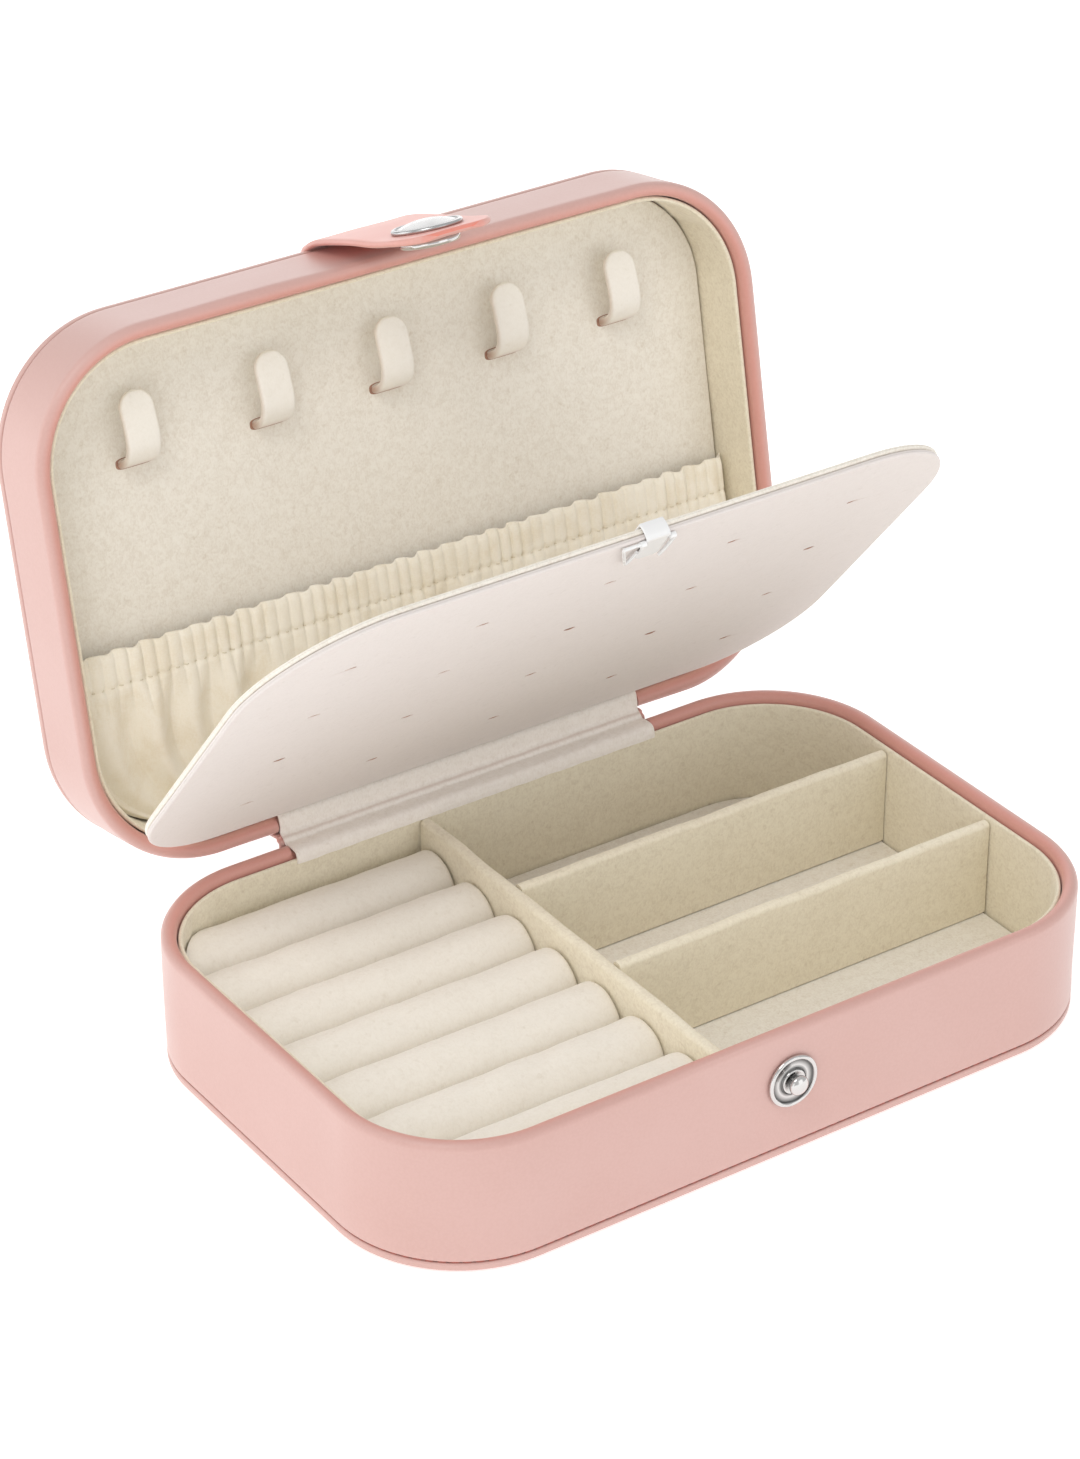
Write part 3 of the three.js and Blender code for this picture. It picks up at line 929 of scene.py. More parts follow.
@dataclass
class Shell:
    """A leather-wrapped tray: wall, panel and velvet liner. z runs from the panel to the rim.

    The strap glow field gives how much painted reddish glow and shade lies on the wall under the
    strap's root, from 0 to 1.
    """

    name: str
    panel_name: str
    height: float
    place: Place
    crown: float = 0.0
    rim_radius: float = 1.5
    seat_drop: float = 0.9
    seat_half: float = BOX.ribbon_width / 2 + 0.3
    painted_strap_glow: float = 0.0
    outline: Outline = field(
        default_factory=lambda: Outline(marks=(-43.6, -43.3, -43.0, 43.0, 43.3, 43.6))
    )

    def wall_profile(self) -> Array:
        """Closed section of the wall: up the outside, over the round rim and down the inside."""
        foot, top, r = BOX.wall_foot, self.height - self.rim_radius, self.rim_radius
        edge = 0.45
        lower = arc((edge, foot + edge), edge, -90, 0, 6) * [-1, 1] + [2 * edge, 0]
        side = np.linspace(foot + edge, top, 14)[1:-1]
        outer = np.stack([np.zeros_like(side), side], axis=-1)
        rim = arc((r, top), r, 0, 180, 19) * [-1, 1] + [2 * r, 0]
        inner = np.array([[BOX.wall, foot + 8.0], [BOX.wall, foot]])
        return np.vstack([lower, outer, rim, inner])

    def build_wall(self) -> None:
        """The leather wall, with a seat for the ribbon sunk into its back rim."""
        profile = self.wall_profile()
        points = ring(self.outline, profile)
        x, y, z = np.moveaxis(points, -1, 0)
        seat = (np.abs(x) < self.seat_half) & (y > 0)
        points[..., 2] -= self.seat_drop * seat * smooth_step(z, self.height - 5, self.height - 1.5)
        swell = 0.12 * ripple(points, 34.0, 3) * smooth_step(profile[:, 1], 3, 9)[None]
        outer = (profile[:, 0] < 0.5)[None]
        _, outward = self.outline.trace()
        points[..., :2] += outward[:, None] * (swell * outer)[..., None]
        inset, rise = profile.T
        # Painted shade: the rim's inward-turned part and its crest take the leather's redder edge
        # colour; under the strap's root a painted reddish glow takes it too.
        near_rim = smooth_step(rise, self.height - 5, self.height - 1)
        turned_in = smooth_step(inset, 0.5, 2.4) * near_rim
        crest = smooth_step(rise, self.height - 2, self.height)
        under_strap = np.exp(-(((x + 2) / 7.5) ** 2)) * (y < -50) * smooth_step(16 - z, 0, 7)
        tint = (0.28 * turned_in + 0.05 * crest)[None] + self.painted_strap_glow * under_strap
        surface = Surface().grid(points, wrap_u=True, wrap_v=True, tint=np.clip(tint, 0, 1))
        names = (f"{self.name}_wall_leather", f"{self.name}_wall_board")
        Piece(f"{self.name}_wall", surface, self.place, Finish.LEATHER, names).make()

    def build_panel(self) -> None:
        """The leather-covered bottom or top, with a round outer edge."""
        edge, thick = 0.7, 1.75
        lower = arc((edge, edge), edge, -90, 0, 9) * [-1, 1] + [2 * edge, 0]
        upper = arc((0.45, thick - 0.45), 0.45, 0, 90, 6) * [-1, 1] + [0.9, 0]
        insets = np.linspace(24, edge + 1, 12)
        rise = self.crown * (1 - (1 - (insets - edge) / (24 - edge)) ** 2)
        face = np.stack([insets, -rise], axis=-1)
        profile = np.vstack([face, lower, upper, [[24, thick]]])
        surface = Surface().grid(ring(self.outline, profile), wrap_u=True, caps="v")
        stem = f"{self.name}_{self.panel_name}"
        names = (f"{stem}_leather", f"{stem}_board")
        Piece(stem, surface, self.place, Finish.LEATHER, names).make()

    def build_seam(self) -> None:
        """A dark sewn line sunk in the crease between wall and panel: a run of short stitches."""
        base, outward = self.outline.trace()
        closed = np.vstack([base - outward * 0.42, base[:1] - outward[:1] * 0.42])
        run = run_along(closed)
        stitch, pitch = 1.5, 2.3
        count = int(run[-1] / pitch)
        within = np.linspace(0, stitch / pitch, 5)
        along = (np.arange(count)[:, None] + within[None]) * run[-1] / count
        bow = np.array([0.16, 0.04, 0.0, 0.04, 0.16])
        x = np.interp(along, run, closed[:, 0])
        y = np.interp(along, run, closed[:, 1])
        middle = np.stack([x, y, np.full_like(x, BOX.wall_foot - 0.17)], axis=-1)
        inward = -np.stack([x, y, np.zeros_like(x)], axis=-1)
        inward /= np.linalg.norm(inward, axis=-1, keepdims=True)
        middle += inward * bow[None, :, None]
        surface = Surface().threads(middle, 0.16)
        Piece(f"{self.name}_seam", surface, self.place, Finish.THREAD).make()

    def build_liner(self) -> None:
        """The velvet liner, rounded at its upper edge and slightly wrinkled in its corners."""
        inner, half = BOX.cavity_inset, BOX.liner / 2
        outer, top = inner - BOX.liner, self.height - BOX.liner_drop
        middle = (outer + half, top - half)
        rim = arc(middle, half, 0, 180, 11) * [-1, 1] + [2 * middle[0], 0]
        side = np.linspace(top - half, BOX.wall_foot, 16)[1:]
        face = np.stack([np.full_like(side, inner), side], axis=-1)
        foot = np.array([[outer, BOX.wall_foot]])
        profile = np.vstack([foot, rim, face])
        outline = Outline(corner_steps=60, spacing=1.6)
        points = ring(outline, profile)
        _, outward = outline.trace()
        depth = smooth_step(top - profile[:, 1], 0.3, 4) * (profile[:, 0] > outer + half)
        corner = np.abs(outward[:, :1] * outward[:, 1:]) * 2
        pleats = ripple(points * [1, 1, 0.12], 4.2, 11) * 0.16 * corner
        soft = ripple(points, 19.0, 5) * 0.1
        points[..., :2] += outward[:, None] * ((pleats + soft) * depth[None])[..., None]
        surface = Surface().grid(points, wrap_u=True, wrap_v=True)
        names = (f"{self.name}_liner",)
        Piece(f"{self.name}_lining", surface, self.place, Finish.WALL_VELVET, names).make()

    def build_pad(self, node: str, thickness: float) -> None:
        """The velvet pad on the panel, with a soft round edge.

        Args:
            node: The frame's node that it stands for.
            thickness: The pad's thickness.
        """
        inset, low = BOX.cavity_inset + BOX.fit, BOX.wall_foot
        soft = 0.5
        edge = arc((inset + soft, low + thickness - soft), soft, 0, 90, 6) * [-1, 1]
        edge += [2 * (inset + soft), 0]
        profile = np.vstack([[[inset, low]], edge, [[26.0, low + thickness]]])
        outline = Outline(corner_steps=30)
        points = ring(outline, profile)
        surface = Surface().grid(points, wrap_u=True, caps="v")
        Piece(f"{node}_velvet", surface, self.place, Finish.VELVET, (node,)).make()

    def build(self, pad: str, pad_thickness: float) -> None:
        """Builds the whole shell."""
        self.build_wall()
        self.build_panel()
        self.build_seam()
        self.build_liner()
        self.build_pad(pad, pad_thickness)


# ------------------------------------------------------------------ inside of the base


@dataclass
class BaseInterior:
    """Dividers and ring rolls."""

    place: Place
    floor: float = 4.4
    divider_top: float = 25.2
    divider: float = 2.6
    long_x: float = -13.3
    cross_y: tuple[float, float] = (18.5, -14.5)
    roll_count: int = 7
    roll_top: float = 21.4
    reach: float = BOX.half_depth - BOX.cavity_inset - BOX.fit
    right: float = BOX.width / 2 - BOX.cavity_inset - BOX.fit

    def divider_wall(self, start: float, end: float, seed: int) -> Array:
        """A soft-edged fabric wall along its own first axis.

        Args:
            start: Where it begins.
            end: Where it ends.
            seed: Seed of its unevenness.

        Returns:
            Points (length, section) as along, across and up.
        """
        half, edge = self.divider / 2, 0.95
        right = arc((half - edge, self.divider_top - edge), edge, 0, 90, 7)
        left = arc((edge - half, self.divider_top - edge), edge, 90, 180, 7)
        sides = np.linspace(self.floor, self.divider_top - edge, 9)[:-1]
        rising = np.stack([np.full_like(sides, half), sides], axis=-1)
        falling = np.stack([np.full_like(sides, -half), sides[::-1]], axis=-1)
        section = np.vstack([rising, right, [[0, self.divider_top + 0.03]], left, falling])
        along = np.linspace(start, end, int(abs(end - start) / 1.5))
        tuck = 1 - 0.1 * (1 - smooth_step(np.minimum(along - start, end - along), 0, 1.2))
        across = section[None, :, 0] * tuck[:, None]
        up = np.broadcast_to(section[None, :, 1], across.shape)
        length = np.broadcast_to(along[:, None], across.shape)
        points = np.stack([length, across, up], axis=-1)
        above = smooth_step(up, self.floor + 1, self.floor + 6)
        points[..., 1] += 0.10 * ripple(points * [1, 0, 1], 17.0, seed) * above
        on_top = up > self.divider_top - 2
        points[..., 2] += 0.09 * ripple(points * [1, 0, 0], 12.0, seed + 1) * on_top
        return points

    def build_dividers(self) -> None:
        """One long divider from front to back, and two across the right side."""
        long = self.divider_wall(-self.reach, self.reach, 21)
        turned = np.stack([self.long_x - long[..., 1], long[..., 0], long[..., 2]], axis=-1)
        surface = Surface().grid(turned, caps="u", wrap_v=True, flip=True)
        names = ("long_divider",)
        Piece("long_divider_velvet", surface, self.place, Finish.WALL_VELVET, names).make()
        left = self.long_x + self.divider / 2 + BOX.fit
        for name, y, seed in zip(("back", "front"), self.cross_y, (31, 41)):
            wall = self.divider_wall(left, self.right, seed)
            wall = wall + np.array([0.0, y, 0.0])
            surface = Surface().grid(wall, caps="u", wrap_v=True, flip=True)
            node = f"cross_divider_{name}"
            Piece(f"{node}_velvet", surface, self.place, Finish.WALL_VELVET, (node,)).make()

    def depth_limit(self, x: Array) -> Array:
        """Largest y inside the round-cornered bay at each x."""
        inset = BOX.cavity_inset + BOX.fit + 0.1
        radius = BOX.radius - inset
        middle_x, middle_y = BOX.width / 2 - BOX.radius, BOX.half_depth - BOX.radius
        over = np.clip(np.abs(x) - middle_x, 0, radius)
        return middle_y + np.sqrt(radius**2 - over**2)

    def build_rolls(self) -> None:
        """Foam rolls under velvet: half-round on top, softly drawn in at their ends."""
        inside = BOX.half_depth - BOX.cavity_inset
        pitch = (2 * inside - BOX.fit) / self.roll_count
        radius = (pitch - BOX.fit) / 2
        start = -BOX.width / 2 + BOX.cavity_inset + BOX.fit
        end = self.long_x - self.divider / 2 - BOX.fit
        for index in range(self.roll_count):
            middle = inside - BOX.fit - radius - index * pitch
            self.build_roll(index, middle, radius, start, end)

    def build_roll(
        self, index: int, middle: float, radius: float, start: float, end: float
    ) -> None:
        """One roll.

        Args:
            index: Its number from the back.
            middle: Its middle in y.
            radius: Its radius.
            start: Its left end.
            end: Its right end.
        """
        angles = np.radians(np.linspace(0, 180, 41))
        across = np.concatenate([[0.7, 0.97], np.cos(angles), [-0.97, -0.7]])
        up = np.concatenate(
            [
                [self.floor, self.floor + 2],
                self.roll_top - radius + radius * np.sin(angles),
                [self.floor + 2, self.floor],
            ]
        )
        share = np.linspace(0, 1, 70)
        along = start + (end - start) * (0.5 - 0.5 * np.cos(np.pi * share)) ** 0.9
        gap = np.minimum(along - start, end - along)
        ends = quarter_round(gap / 1.1)
        shrink = 1 - 0.075 * (1 - ends)
        x = np.broadcast_to(along[:, None], (len(along), len(up)))
        y = middle + radius * across[None] * shrink[:, None]
        z = self.floor + (up[None] - self.floor) * shrink[:, None]
        points = np.stack([x, y, z], axis=-1)
        top = smooth_step(z, self.floor + 4, self.roll_top - 2)
        puff = 0.13 * ripple(points, 13.0, 50 + index) + 0.05 * ripple(points, 4.5, 70 + index)
        points[..., 2] += puff * top
        limit = self.depth_limit(x)
        points[..., 1] = np.clip(points[..., 1], -limit, limit)
        surface = Surface().grid(points, wrap_v=True, caps="u", flip=True)
        node = f"ring_roll_{index + 1}"
        roll = Piece(f"{node}_velvet", surface, self.place, Finish.ROLL_VELVET, (node,)).make()

    def build(self) -> None:
        """Builds dividers and rolls."""
        self.build_dividers()
        self.build_rolls()


# ------------------------------------------------------------------ inside of the lid


@dataclass
class NecklaceHooks:
    """Velvet tongues that come out of slits in the lid's pad and bend up to a round tip."""

    place: Place
    count: int = 5
    pitch: float = 27.7
    shifts: tuple[float, ...] = (0.0, 2.1, 1.8, 1.4, 1.0)
    width: float = 7.4
    thickness: float = 1.6
    slit_y: float = -24.0
    pad_face: float = 3.6
    bulge: float = 5.0
    length: float = 14.8
    tip: float = 3.2

    def middle_line(self) -> Array:
        """The tongue's middle line from inside its slit to its tip, as y and z pairs."""
        y, z = self.slit_y, self.pad_face
        stations = [
            (y, z - 1.0),
            (y, z + 0.6),
            (y - 1.6, z + 0.72 * self.bulge),
            (y - 4.6, z + self.bulge),
            (y - 0.66 * self.length, z + self.bulge - 0.6),
            (y - self.length, z + self.tip),
        ]
        return smooth_path(stations, 60)

    def build(self) -> None:
        """Builds every hook with the painted shadow line of its slit."""
        path = self.middle_line()
        run = run_along(path)
        left = run[-1] - run
        round_tip = self.width / 2
        half_width = round_tip * quarter_round(left / round_tip)
        soft = self.thickness / 2
        thin = quarter_round(left / soft)
        thickness = self.thickness * np.maximum(thin, 0.02)
        half_width = np.maximum(half_width, thickness / 2)
        for index in range(self.count):
            x = (index - (self.count - 1) / 2) * self.pitch + self.shifts[index]
            points = band(path, half_width, thickness, x, 12)
            free = smooth_step(run, 2, 6)[:, None]
            points[..., 2] += 0.05 * ripple(points, 6.0, 90 + index) * free
            # Painted shade: the tongue's foot at its slit and its side edges take the velvet's
            # shade colour.
            side = np.abs(points[..., 0] - x) / np.maximum(half_width, 0.1)[:, None]
            root = 1 - smooth_step(run, 1.5, 5.5)[:, None]
            tint = 0.55 * root + 0.3 * smooth_step(side, 0.9, 1.0)
            surface = Surface().grid(points, wrap_v=True, caps="u", tint=np.clip(tint, 0, 1))
            node = f"necklace_hook_{index + 1}"
            Piece(f"{node}_velvet", surface, self.place, Finish.HOOK_VELVET, (node,)).make()
        self.build_slits()

    def build_slits(self) -> None:
        """Painted shadow: dark lips drawn round the slits, just proud of the pad."""
        surface = Surface()
        for index in range(self.count):
            x = (index - (self.count - 1) / 2) * self.pitch + self.shifts[index]
            angles = np.linspace(0, 2 * np.pi, 40, endpoint=False)
            cosine, sine = np.cos(angles), np.sin(angles)
            across = (self.width / 2 + 0.5) * np.sign(cosine) * np.abs(cosine) ** 0.35
            along = (self.thickness / 2 + 0.35) * np.sign(sine) * np.abs(sine) ** 0.6
            low = np.full_like(across, self.pad_face - 0.3)
            loops = [(1.0, -0.3), (1.0, 0.01), (0.93, 0.05), (0.86, 0.02), (0.8, -0.3)]
            rows = [
                np.stack([x + across * k, self.slit_y + along * k, low + 0.3 + rise], axis=-1)
                for k, rise in loops
            ]
            surface.grid(np.stack(rows, axis=1), wrap_u=True, caps="v")
        Piece("hook_slit_shadows", surface, self.place, Finish.SLIT).make()


@dataclass
class ElasticPocket:
    """A gathered pouch: tight pleats in its elastic header that open into soft folds below."""

    place: Place
    top_y: float = 10.8
    bottom_y: float = 49.3
    header: float = 7.0
    pad_face: float = 3.6
    crest: float = 3.9
    pleats: int = 58

    def side_limit(self, y: Array) -> Array:
        """Half the pocket's width at each y, inside the round-cornered liner."""
        inset = BOX.cavity_inset + BOX.fit + 0.15
        radius = BOX.radius - inset
        over = np.clip(y - (BOX.half_depth - BOX.radius), 0, radius)
        return BOX.width / 2 - BOX.radius + np.sqrt(np.maximum(radius**2 - over**2, 0.01))

    def front(self, across: Array, down: Array) -> tuple[Array, Array]:
        """Front sheet's height over the pad, and its edge's scallops.

        The pleats are sharpened sine waves along the width with an uneven step. Below the header
        they give way to the sum of two broader sine waves, cut by narrow valleys, which fade
        towards the foot. A smooth maximum keeps the sheet off the pad:
        0.7 + 0.5 ln(1 + e^((height - 0.7) / 0.5)).

        Args:
            across: From -1 to 1 over the width.
            down: From 0 at the free edge to 1 at the foot.

        Returns:
            The height over the pad, and a shift in y.
        """
        reach = self.bottom_y - self.top_y
        fall = down * reach
        drift = 0.8 * np.sin(5.1 * across + 0.4) + 0.5 * np.sin(13.7 * across + 2.0)
        lean = 0.35 * np.sin(9.0 * across + 1.0) * smooth_step(fall, 6, 24)
        phase = np.pi * self.pleats * across + 2 * drift
        tight = np.abs(np.sin(0.5 * phase)) ** 0.75 * 2 - 1
        uneven = 0.72 + 0.28 * np.sin(23.0 * across + 1.3)
        folds = phase / 3.4 + 2.2 * lean
        broad = np.sin(folds) * (0.7 + 0.3 * np.sin(7.7 * across))
        broad = broad + 0.45 * np.sin(folds * 0.62 + 2.2)
        in_header = 1 - smooth_step(fall, self.header - 1, self.header + 9)
        below = smooth_step(fall, self.header - 2, self.header + 10)
        below = below * (1 - 0.5 * smooth_step(fall, 22, reach))
        base = self.crest - 2.0 * smooth_step(fall, self.header + 4, reach - 1)
        stitched = np.exp(-(((fall - self.header) / 0.55) ** 2))
        sharp = 0.3 * (1 - np.abs(np.sin(folds * 0.5 + 0.7)) ** 0.6) * np.sin(3.1 * across + 4) ** 2
        height = base + 0.5 * tight * uneven * in_header + (1.45 * broad - 2.2 * sharp) * below
        height = height - 0.4 * stitched * (1 - 0.4 * tight)
        height -= 0.35 * np.exp(-((fall / 0.7) ** 2))
        shift = 0.4 * np.sin(phase * 0.5 + 0.6) * uneven * (1 - smooth_step(fall, 0, 4))
        return 0.7 + 0.5 * np.logaddexp(0.0, (height - 0.7) / 0.5), shift

    def build(self) -> None:
        """Builds the pouch as one closed sheet folded over its elastic, and its stitches."""
        across = np.linspace(-1, 1, 760)[:, None]
        reach = self.bottom_y - self.top_y
        header_rows = np.linspace(0, (self.header + 2) / reach, 26)
        down = np.concatenate([header_rows, np.linspace(header_rows[-1], 1, 34)[1:]])[None]
        height, shift = self.front(across, down)
        y = self.top_y + down * reach + shift
        x = across * self.side_limit(y)
        edge = smooth_step(1 - np.abs(across), 0.0, 0.02)
        height = 0.6 + (height - 0.6) * (0.35 + 0.65 * edge)
        front = np.stack([x, y, self.pad_face + height], axis=-1)
        fall = down * reach
        thick = 0.45 + 1.0 * (1 - smooth_step(fall, self.header - 0.5, self.header + 1.5))
        thick = thick * (0.35 + 0.65 * smooth_step(fall, 0.0, 0.8))
        back = front.copy()
        back[..., 2] = self.pad_face + np.maximum(height - thick, 0.12)
        lip = (front[:, :1] + back[:, :1]) / 2 - np.array([0.0, 0.3, 0.0])
        points = np.concatenate([front[:, ::-1], lip, back], axis=1)
        surface = Surface().grid(points, wrap_v=True, caps="u")
        nodes = ("elastic_pocket", "pocket_elastic")
        pocket = Piece(
            "elastic_pocket_cloth", surface, self.place, Finish.POCKET_CLOTH, nodes, sharp=180
        ).make()
        self.build_stitches()

    def build_stitches(self) -> None:
        """A row of short stitches along the header's lower edge."""
        count = 74
        middle = np.linspace(-0.97, 0.97, count)[:, None]
        across = middle + np.linspace(-0.0042, 0.0042, 5)[None]
        reach = self.bottom_y - self.top_y
        down = np.full_like(across, (self.header - 0.05) / reach)
        height, shift = self.front(across, down)
        y = self.top_y + down * reach + shift
        x = across * self.side_limit(y)
        bow = np.array([-0.12, 0.06, 0.1, 0.06, -0.12])
        paths = np.stack([x, y, self.pad_face + height + 0.06 + bow], axis=-1)
        surface = Surface().threads(paths, 0.13)
        Piece("pocket_stitches", surface, self.place, Finish.CREAM_THREAD).make()


# ------------------------------------------------------------------ hinge strips


@dataclass
class HingeStrips:
    """The velvet ribbon inside the hinge, the leather strip outside it and the board's tab."""

    opened: Turn
    ribbon_half: float = BOX.ribbon_width / 2
    leather_half: float = 44.0

    def over_hinge(self, base_side: Array, crease: Array) -> Array:
        """A strip's middle line: the base's side, the crease, and the same side on the lid.

        The lid's side is the base's mirrored about the closed hinge height, then opened.

        Args:
            base_side: Pairs of y and z up to the hinge.
            crease: Pairs of y and z at the hinge.

        Returns:
            An evenly spaced middle line at rest.
        """
        mirror = 2 * BOX.hinge[1]
        lid_side = np.stack(
            [np.zeros(len(base_side)), base_side[::-1, 0], mirror - base_side[::-1, 1]], axis=-1
        )
        lid_side = self.opened.apply(lid_side)[:, 1:]
        return smooth_path(np.vstack([base_side, crease, lid_side]), 72)

    def strip(
        self,
        name: str,
        path: Array,
        half: float,
        thick: float,
        finish: Finish,
        nodes: Sequence[str],
    ) -> bpy.types.Object:
        """One strip across a joint, tied to no body.

        Args:
            name: The piece's name.
            path: Its middle line.
            half: Half its width.
            thick: Its thickness.
            finish: Its finish.
            nodes: The nodes it stands for.

        Returns:
            The piece.
        """
        count = len(path)
        points = band(path, np.full(count, half), np.full(count, thick), 0.0, 60)
        points[..., 1:] += 0.05 * ripple(points, 4.0, 7)[..., None]
        # Painted shade: a band along the crease takes the finish's shade colour.
        crease = np.exp(-(((np.arange(count) / count - 0.5) / 0.02) ** 2))[:, None]
        surface = Surface().grid(points, wrap_v=True, caps="u", tint=0.35 * crease)
        return Piece(name, surface, Place(Body.BASE), finish, tuple(nodes)).make(ride=False)

    def build_ribbon(self) -> None:
        """The velvet ribbon over both rims, with a crease along the hinge."""
        rim = BOX.base_height - 0.30
        up_the_liner = [[49.75, 25.2], [49.85, 26.4], [50.5, rim - 0.05]]
        over_the_rim = [[52.3, rim + 0.1], [54.0, rim - 0.1]]
        side = np.array(up_the_liner + over_the_rim)
        path = self.over_hinge(side, np.array([[54.85, 28.15]]))
        nodes = ("hinge_velvet_lower", "hinge_velvet_upper")
        thick = BOX.ribbon_thickness
        ribbon = self.strip(
            "hinge_ribbon", path, self.ribbon_half, thick, Finish.RIBBON_VELVET, nodes
        )
        length = float(np.linalg.norm(np.diff(path, axis=0), axis=1).sum()) * MM
        LOG.info("hinge ribbon lies flat at %.4f by %.4f m", 2 * self.ribbon_half * MM, length)
        2 * self.ribbon_half * MM
        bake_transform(ribbon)

    def build_leather(self) -> None:
        """The leather strip glued to both back walls, folded into the valley behind them."""
        side = np.array([[54.62, 11.9], [54.72, 16.0], [54.72, 21.0], [54.72, 26.0], [54.8, 27.4]])
        path = self.over_hinge(side, np.array([[55.5, 27.55]]))
        nodes = ("hinge_leather_lower", "hinge_leather_upper")
        leather = self.strip(
            "hinge_leather", path, self.leather_half, 0.8, Finish.STRAP_LEATHER, nodes
        )
        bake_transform(leather)

    def build_board_tab(self) -> None:
        """The fabric tab from the lid's back liner down to the earring board's back edge."""
        pivot_y, pivot_z = BOX.board_pivot
        lift = Turn(pivot_y, pivot_z, BOX.open_angle - BOX.board_angle)
        lid_side = np.array([[0, 49.2, 36.3], [0, 49.2, 33.0], [0, 49.15, 30.6]])
        board_side = np.array([[0, -0.6, 1.5], [0, -7.5, 1.42]]) + [0, pivot_y, pivot_z]
        rest = self.opened.apply(np.vstack([lid_side, lift.apply(board_side)]))[:, 1:]
        path = smooth_path(rest, 40)
        nodes = ("board_hinge_tab",)
        tab = self.strip("board_tab", path, self.ribbon_half, 0.55, Finish.VELVET, nodes)
        start, end = rest[2] * MM, rest[3] * MM
        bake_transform(tab)

    def build(self) -> None:
        """Builds the three strips."""
        self.build_ribbon()
        self.build_leather()
        self.build_board_tab()


# ------------------------------------------------------------------ earring board


@dataclass
class EarringBoard:
    """Two velvet-covered cards back to back, with rows of earring slits and a clip."""

    place: Place
    width: float = 157.8
    depth: float = 98.0
    front_radius: float = 27.0
    back_radius: float = 22.0
    card: float = 0.95
    gap: float = 0.3
    columns: int = 5
    rows: int = 4
    column_pitch: float = 28.4
    row_pitch: float = 20.8
    first_row: float = 16.4
    slit: float = 2.6
    edge_soft: float = 0.46
    closing: float = 0.11
    clip_x: float = 2.6
    clip_half: float = 2.7
    clip_gap: float = 0.25
    clip_front: float = 8.6
    clip_skew: float = 0.09
    wire: float = 0.36

    def half_width(self, y: Array) -> Array:
        """Half the board's width at each y, from 0 at the hinge edge to minus the depth."""
        front = np.clip(self.front_radius - (self.depth + y), 0, self.front_radius)
        back = np.clip(self.back_radius + y, 0, self.back_radius)
        cut = self.front_radius - np.sqrt(self.front_radius**2 - front**2)
        cut += self.back_radius - np.sqrt(self.back_radius**2 - back**2)
        return self.width / 2 - cut

    def edge_distance(self, x: Array, y: Array) -> Array:
        """Distance from a point to the board's outline: that of a rounded rectangle."""
        middle = -self.depth / 2
        radius = np.where(y < middle, self.front_radius, self.back_radius)
        over_x = np.abs(x) - (self.width / 2 - radius)
        over_y = np.abs(y - middle) - (self.depth / 2 - radius)
        outside = np.hypot(np.maximum(over_x, 0), np.maximum(over_y, 0))
        inside = np.minimum(np.maximum(over_x, over_y), 0)
        return np.maximum(radius - outside - inside, 0)

    def slit_middles(self) -> tuple[Array, Array]:
        """The slits' columns in x and rows in y."""
        columns = (np.arange(self.columns) - (self.columns - 1) / 2) * self.column_pitch
        return columns, -self.first_row - np.arange(self.rows) * self.row_pitch

    def lattice(self) -> tuple[Array, Array]:
        """Uneven grid lines: close together at the slits and along the edges."""
        columns, rows = self.slit_middles()
        beside = np.array([0.7, 1.2, 1.4, 1.7, 2.2])
        near_x = np.concatenate([-beside[::-1], [0.0], beside])
        beyond = np.array([0.12, 0.25, 0.42, 0.7, 1.1, 1.8])
        near_y = np.concatenate([-beyond[::-1], [0.0], beyond])
        rim = np.array([0, 0.04, 0.12, 0.24, 0.46, 0.9, 1.8, 3.5])
        half = self.width / 2
        wide = np.concatenate(
            [
                (columns[:, None] + near_x).ravel(),
                np.linspace(-half + 6, half - 6, 30),
                -half + rim,
                half - rim,
            ]
        )
        ease = (np.arange(26) / 26) ** 2
        deep = np.concatenate(
            [
                (rows[:, None] + near_y).ravel(),
                np.linspace(-self.depth + 28, -23, 14),
                -self.back_radius * ease,
                -self.depth + self.front_radius * ease,
            ]
        )
        return thin_out(wide, 0.03) / half, thin_out(deep, 0.03)

    def relief(self, x: Array, y: Array) -> Array:
        """How deep the slits draw the velvet in."""
        columns, rows = self.slit_middles()
        dx = np.abs(x[..., None] - columns).min(axis=-1)
        dy = np.abs(y[..., None] - rows).min(axis=-1)
        along = 1 - smooth_step(dx, self.slit / 2 - 0.25, self.slit / 2 + 0.15)
        pucker = 0.10 * np.exp(-((dy / 0.9) ** 2) - ((dx / 1.8) ** 2))
        return 0.42 * along * np.exp(-((dy / 0.2) ** 2)) + pucker

    def build_card(self, name: str, side: int, finish: Finish) -> None:
        """One card: two sheets that meet in a soft edge.

        Args:
            name: The frame's node that it stands for.
            side: -1 for the front card and 1 for the back one.
            finish: Its velvet.
        """
        across, deep = self.lattice()
        y = np.broadcast_to(deep[:, None], (len(deep), len(across)))
        x = across[None] * self.half_width(deep)[:, None]
        distance = self.edge_distance(x, y)
        swell = quarter_round(distance / self.edge_soft)
        middle = side * (self.gap / 2 + self.card / 2)
        half = self.card / 2 * swell
        wave = 0.10 * ripple(np.stack([x, y, 0 * x], axis=-1), 33.0, 60 + side) * swell
        outer = half - self.relief(x, y) * 0.9 + wave * smooth_step(distance, 1, 8)
        outer = np.maximum(outer, 0.02 - half)
        inner = half + self.closing * swell
        top = middle + (outer if side > 0 else inner)
        bottom = middle - (inner if side > 0 else outer)
        pivot_y, pivot_z = BOX.board_pivot
        upper = np.stack([x, y + pivot_y, top + pivot_z], axis=-1)
        lower = np.stack([x, y + pivot_y, bottom + pivot_z], axis=-1)
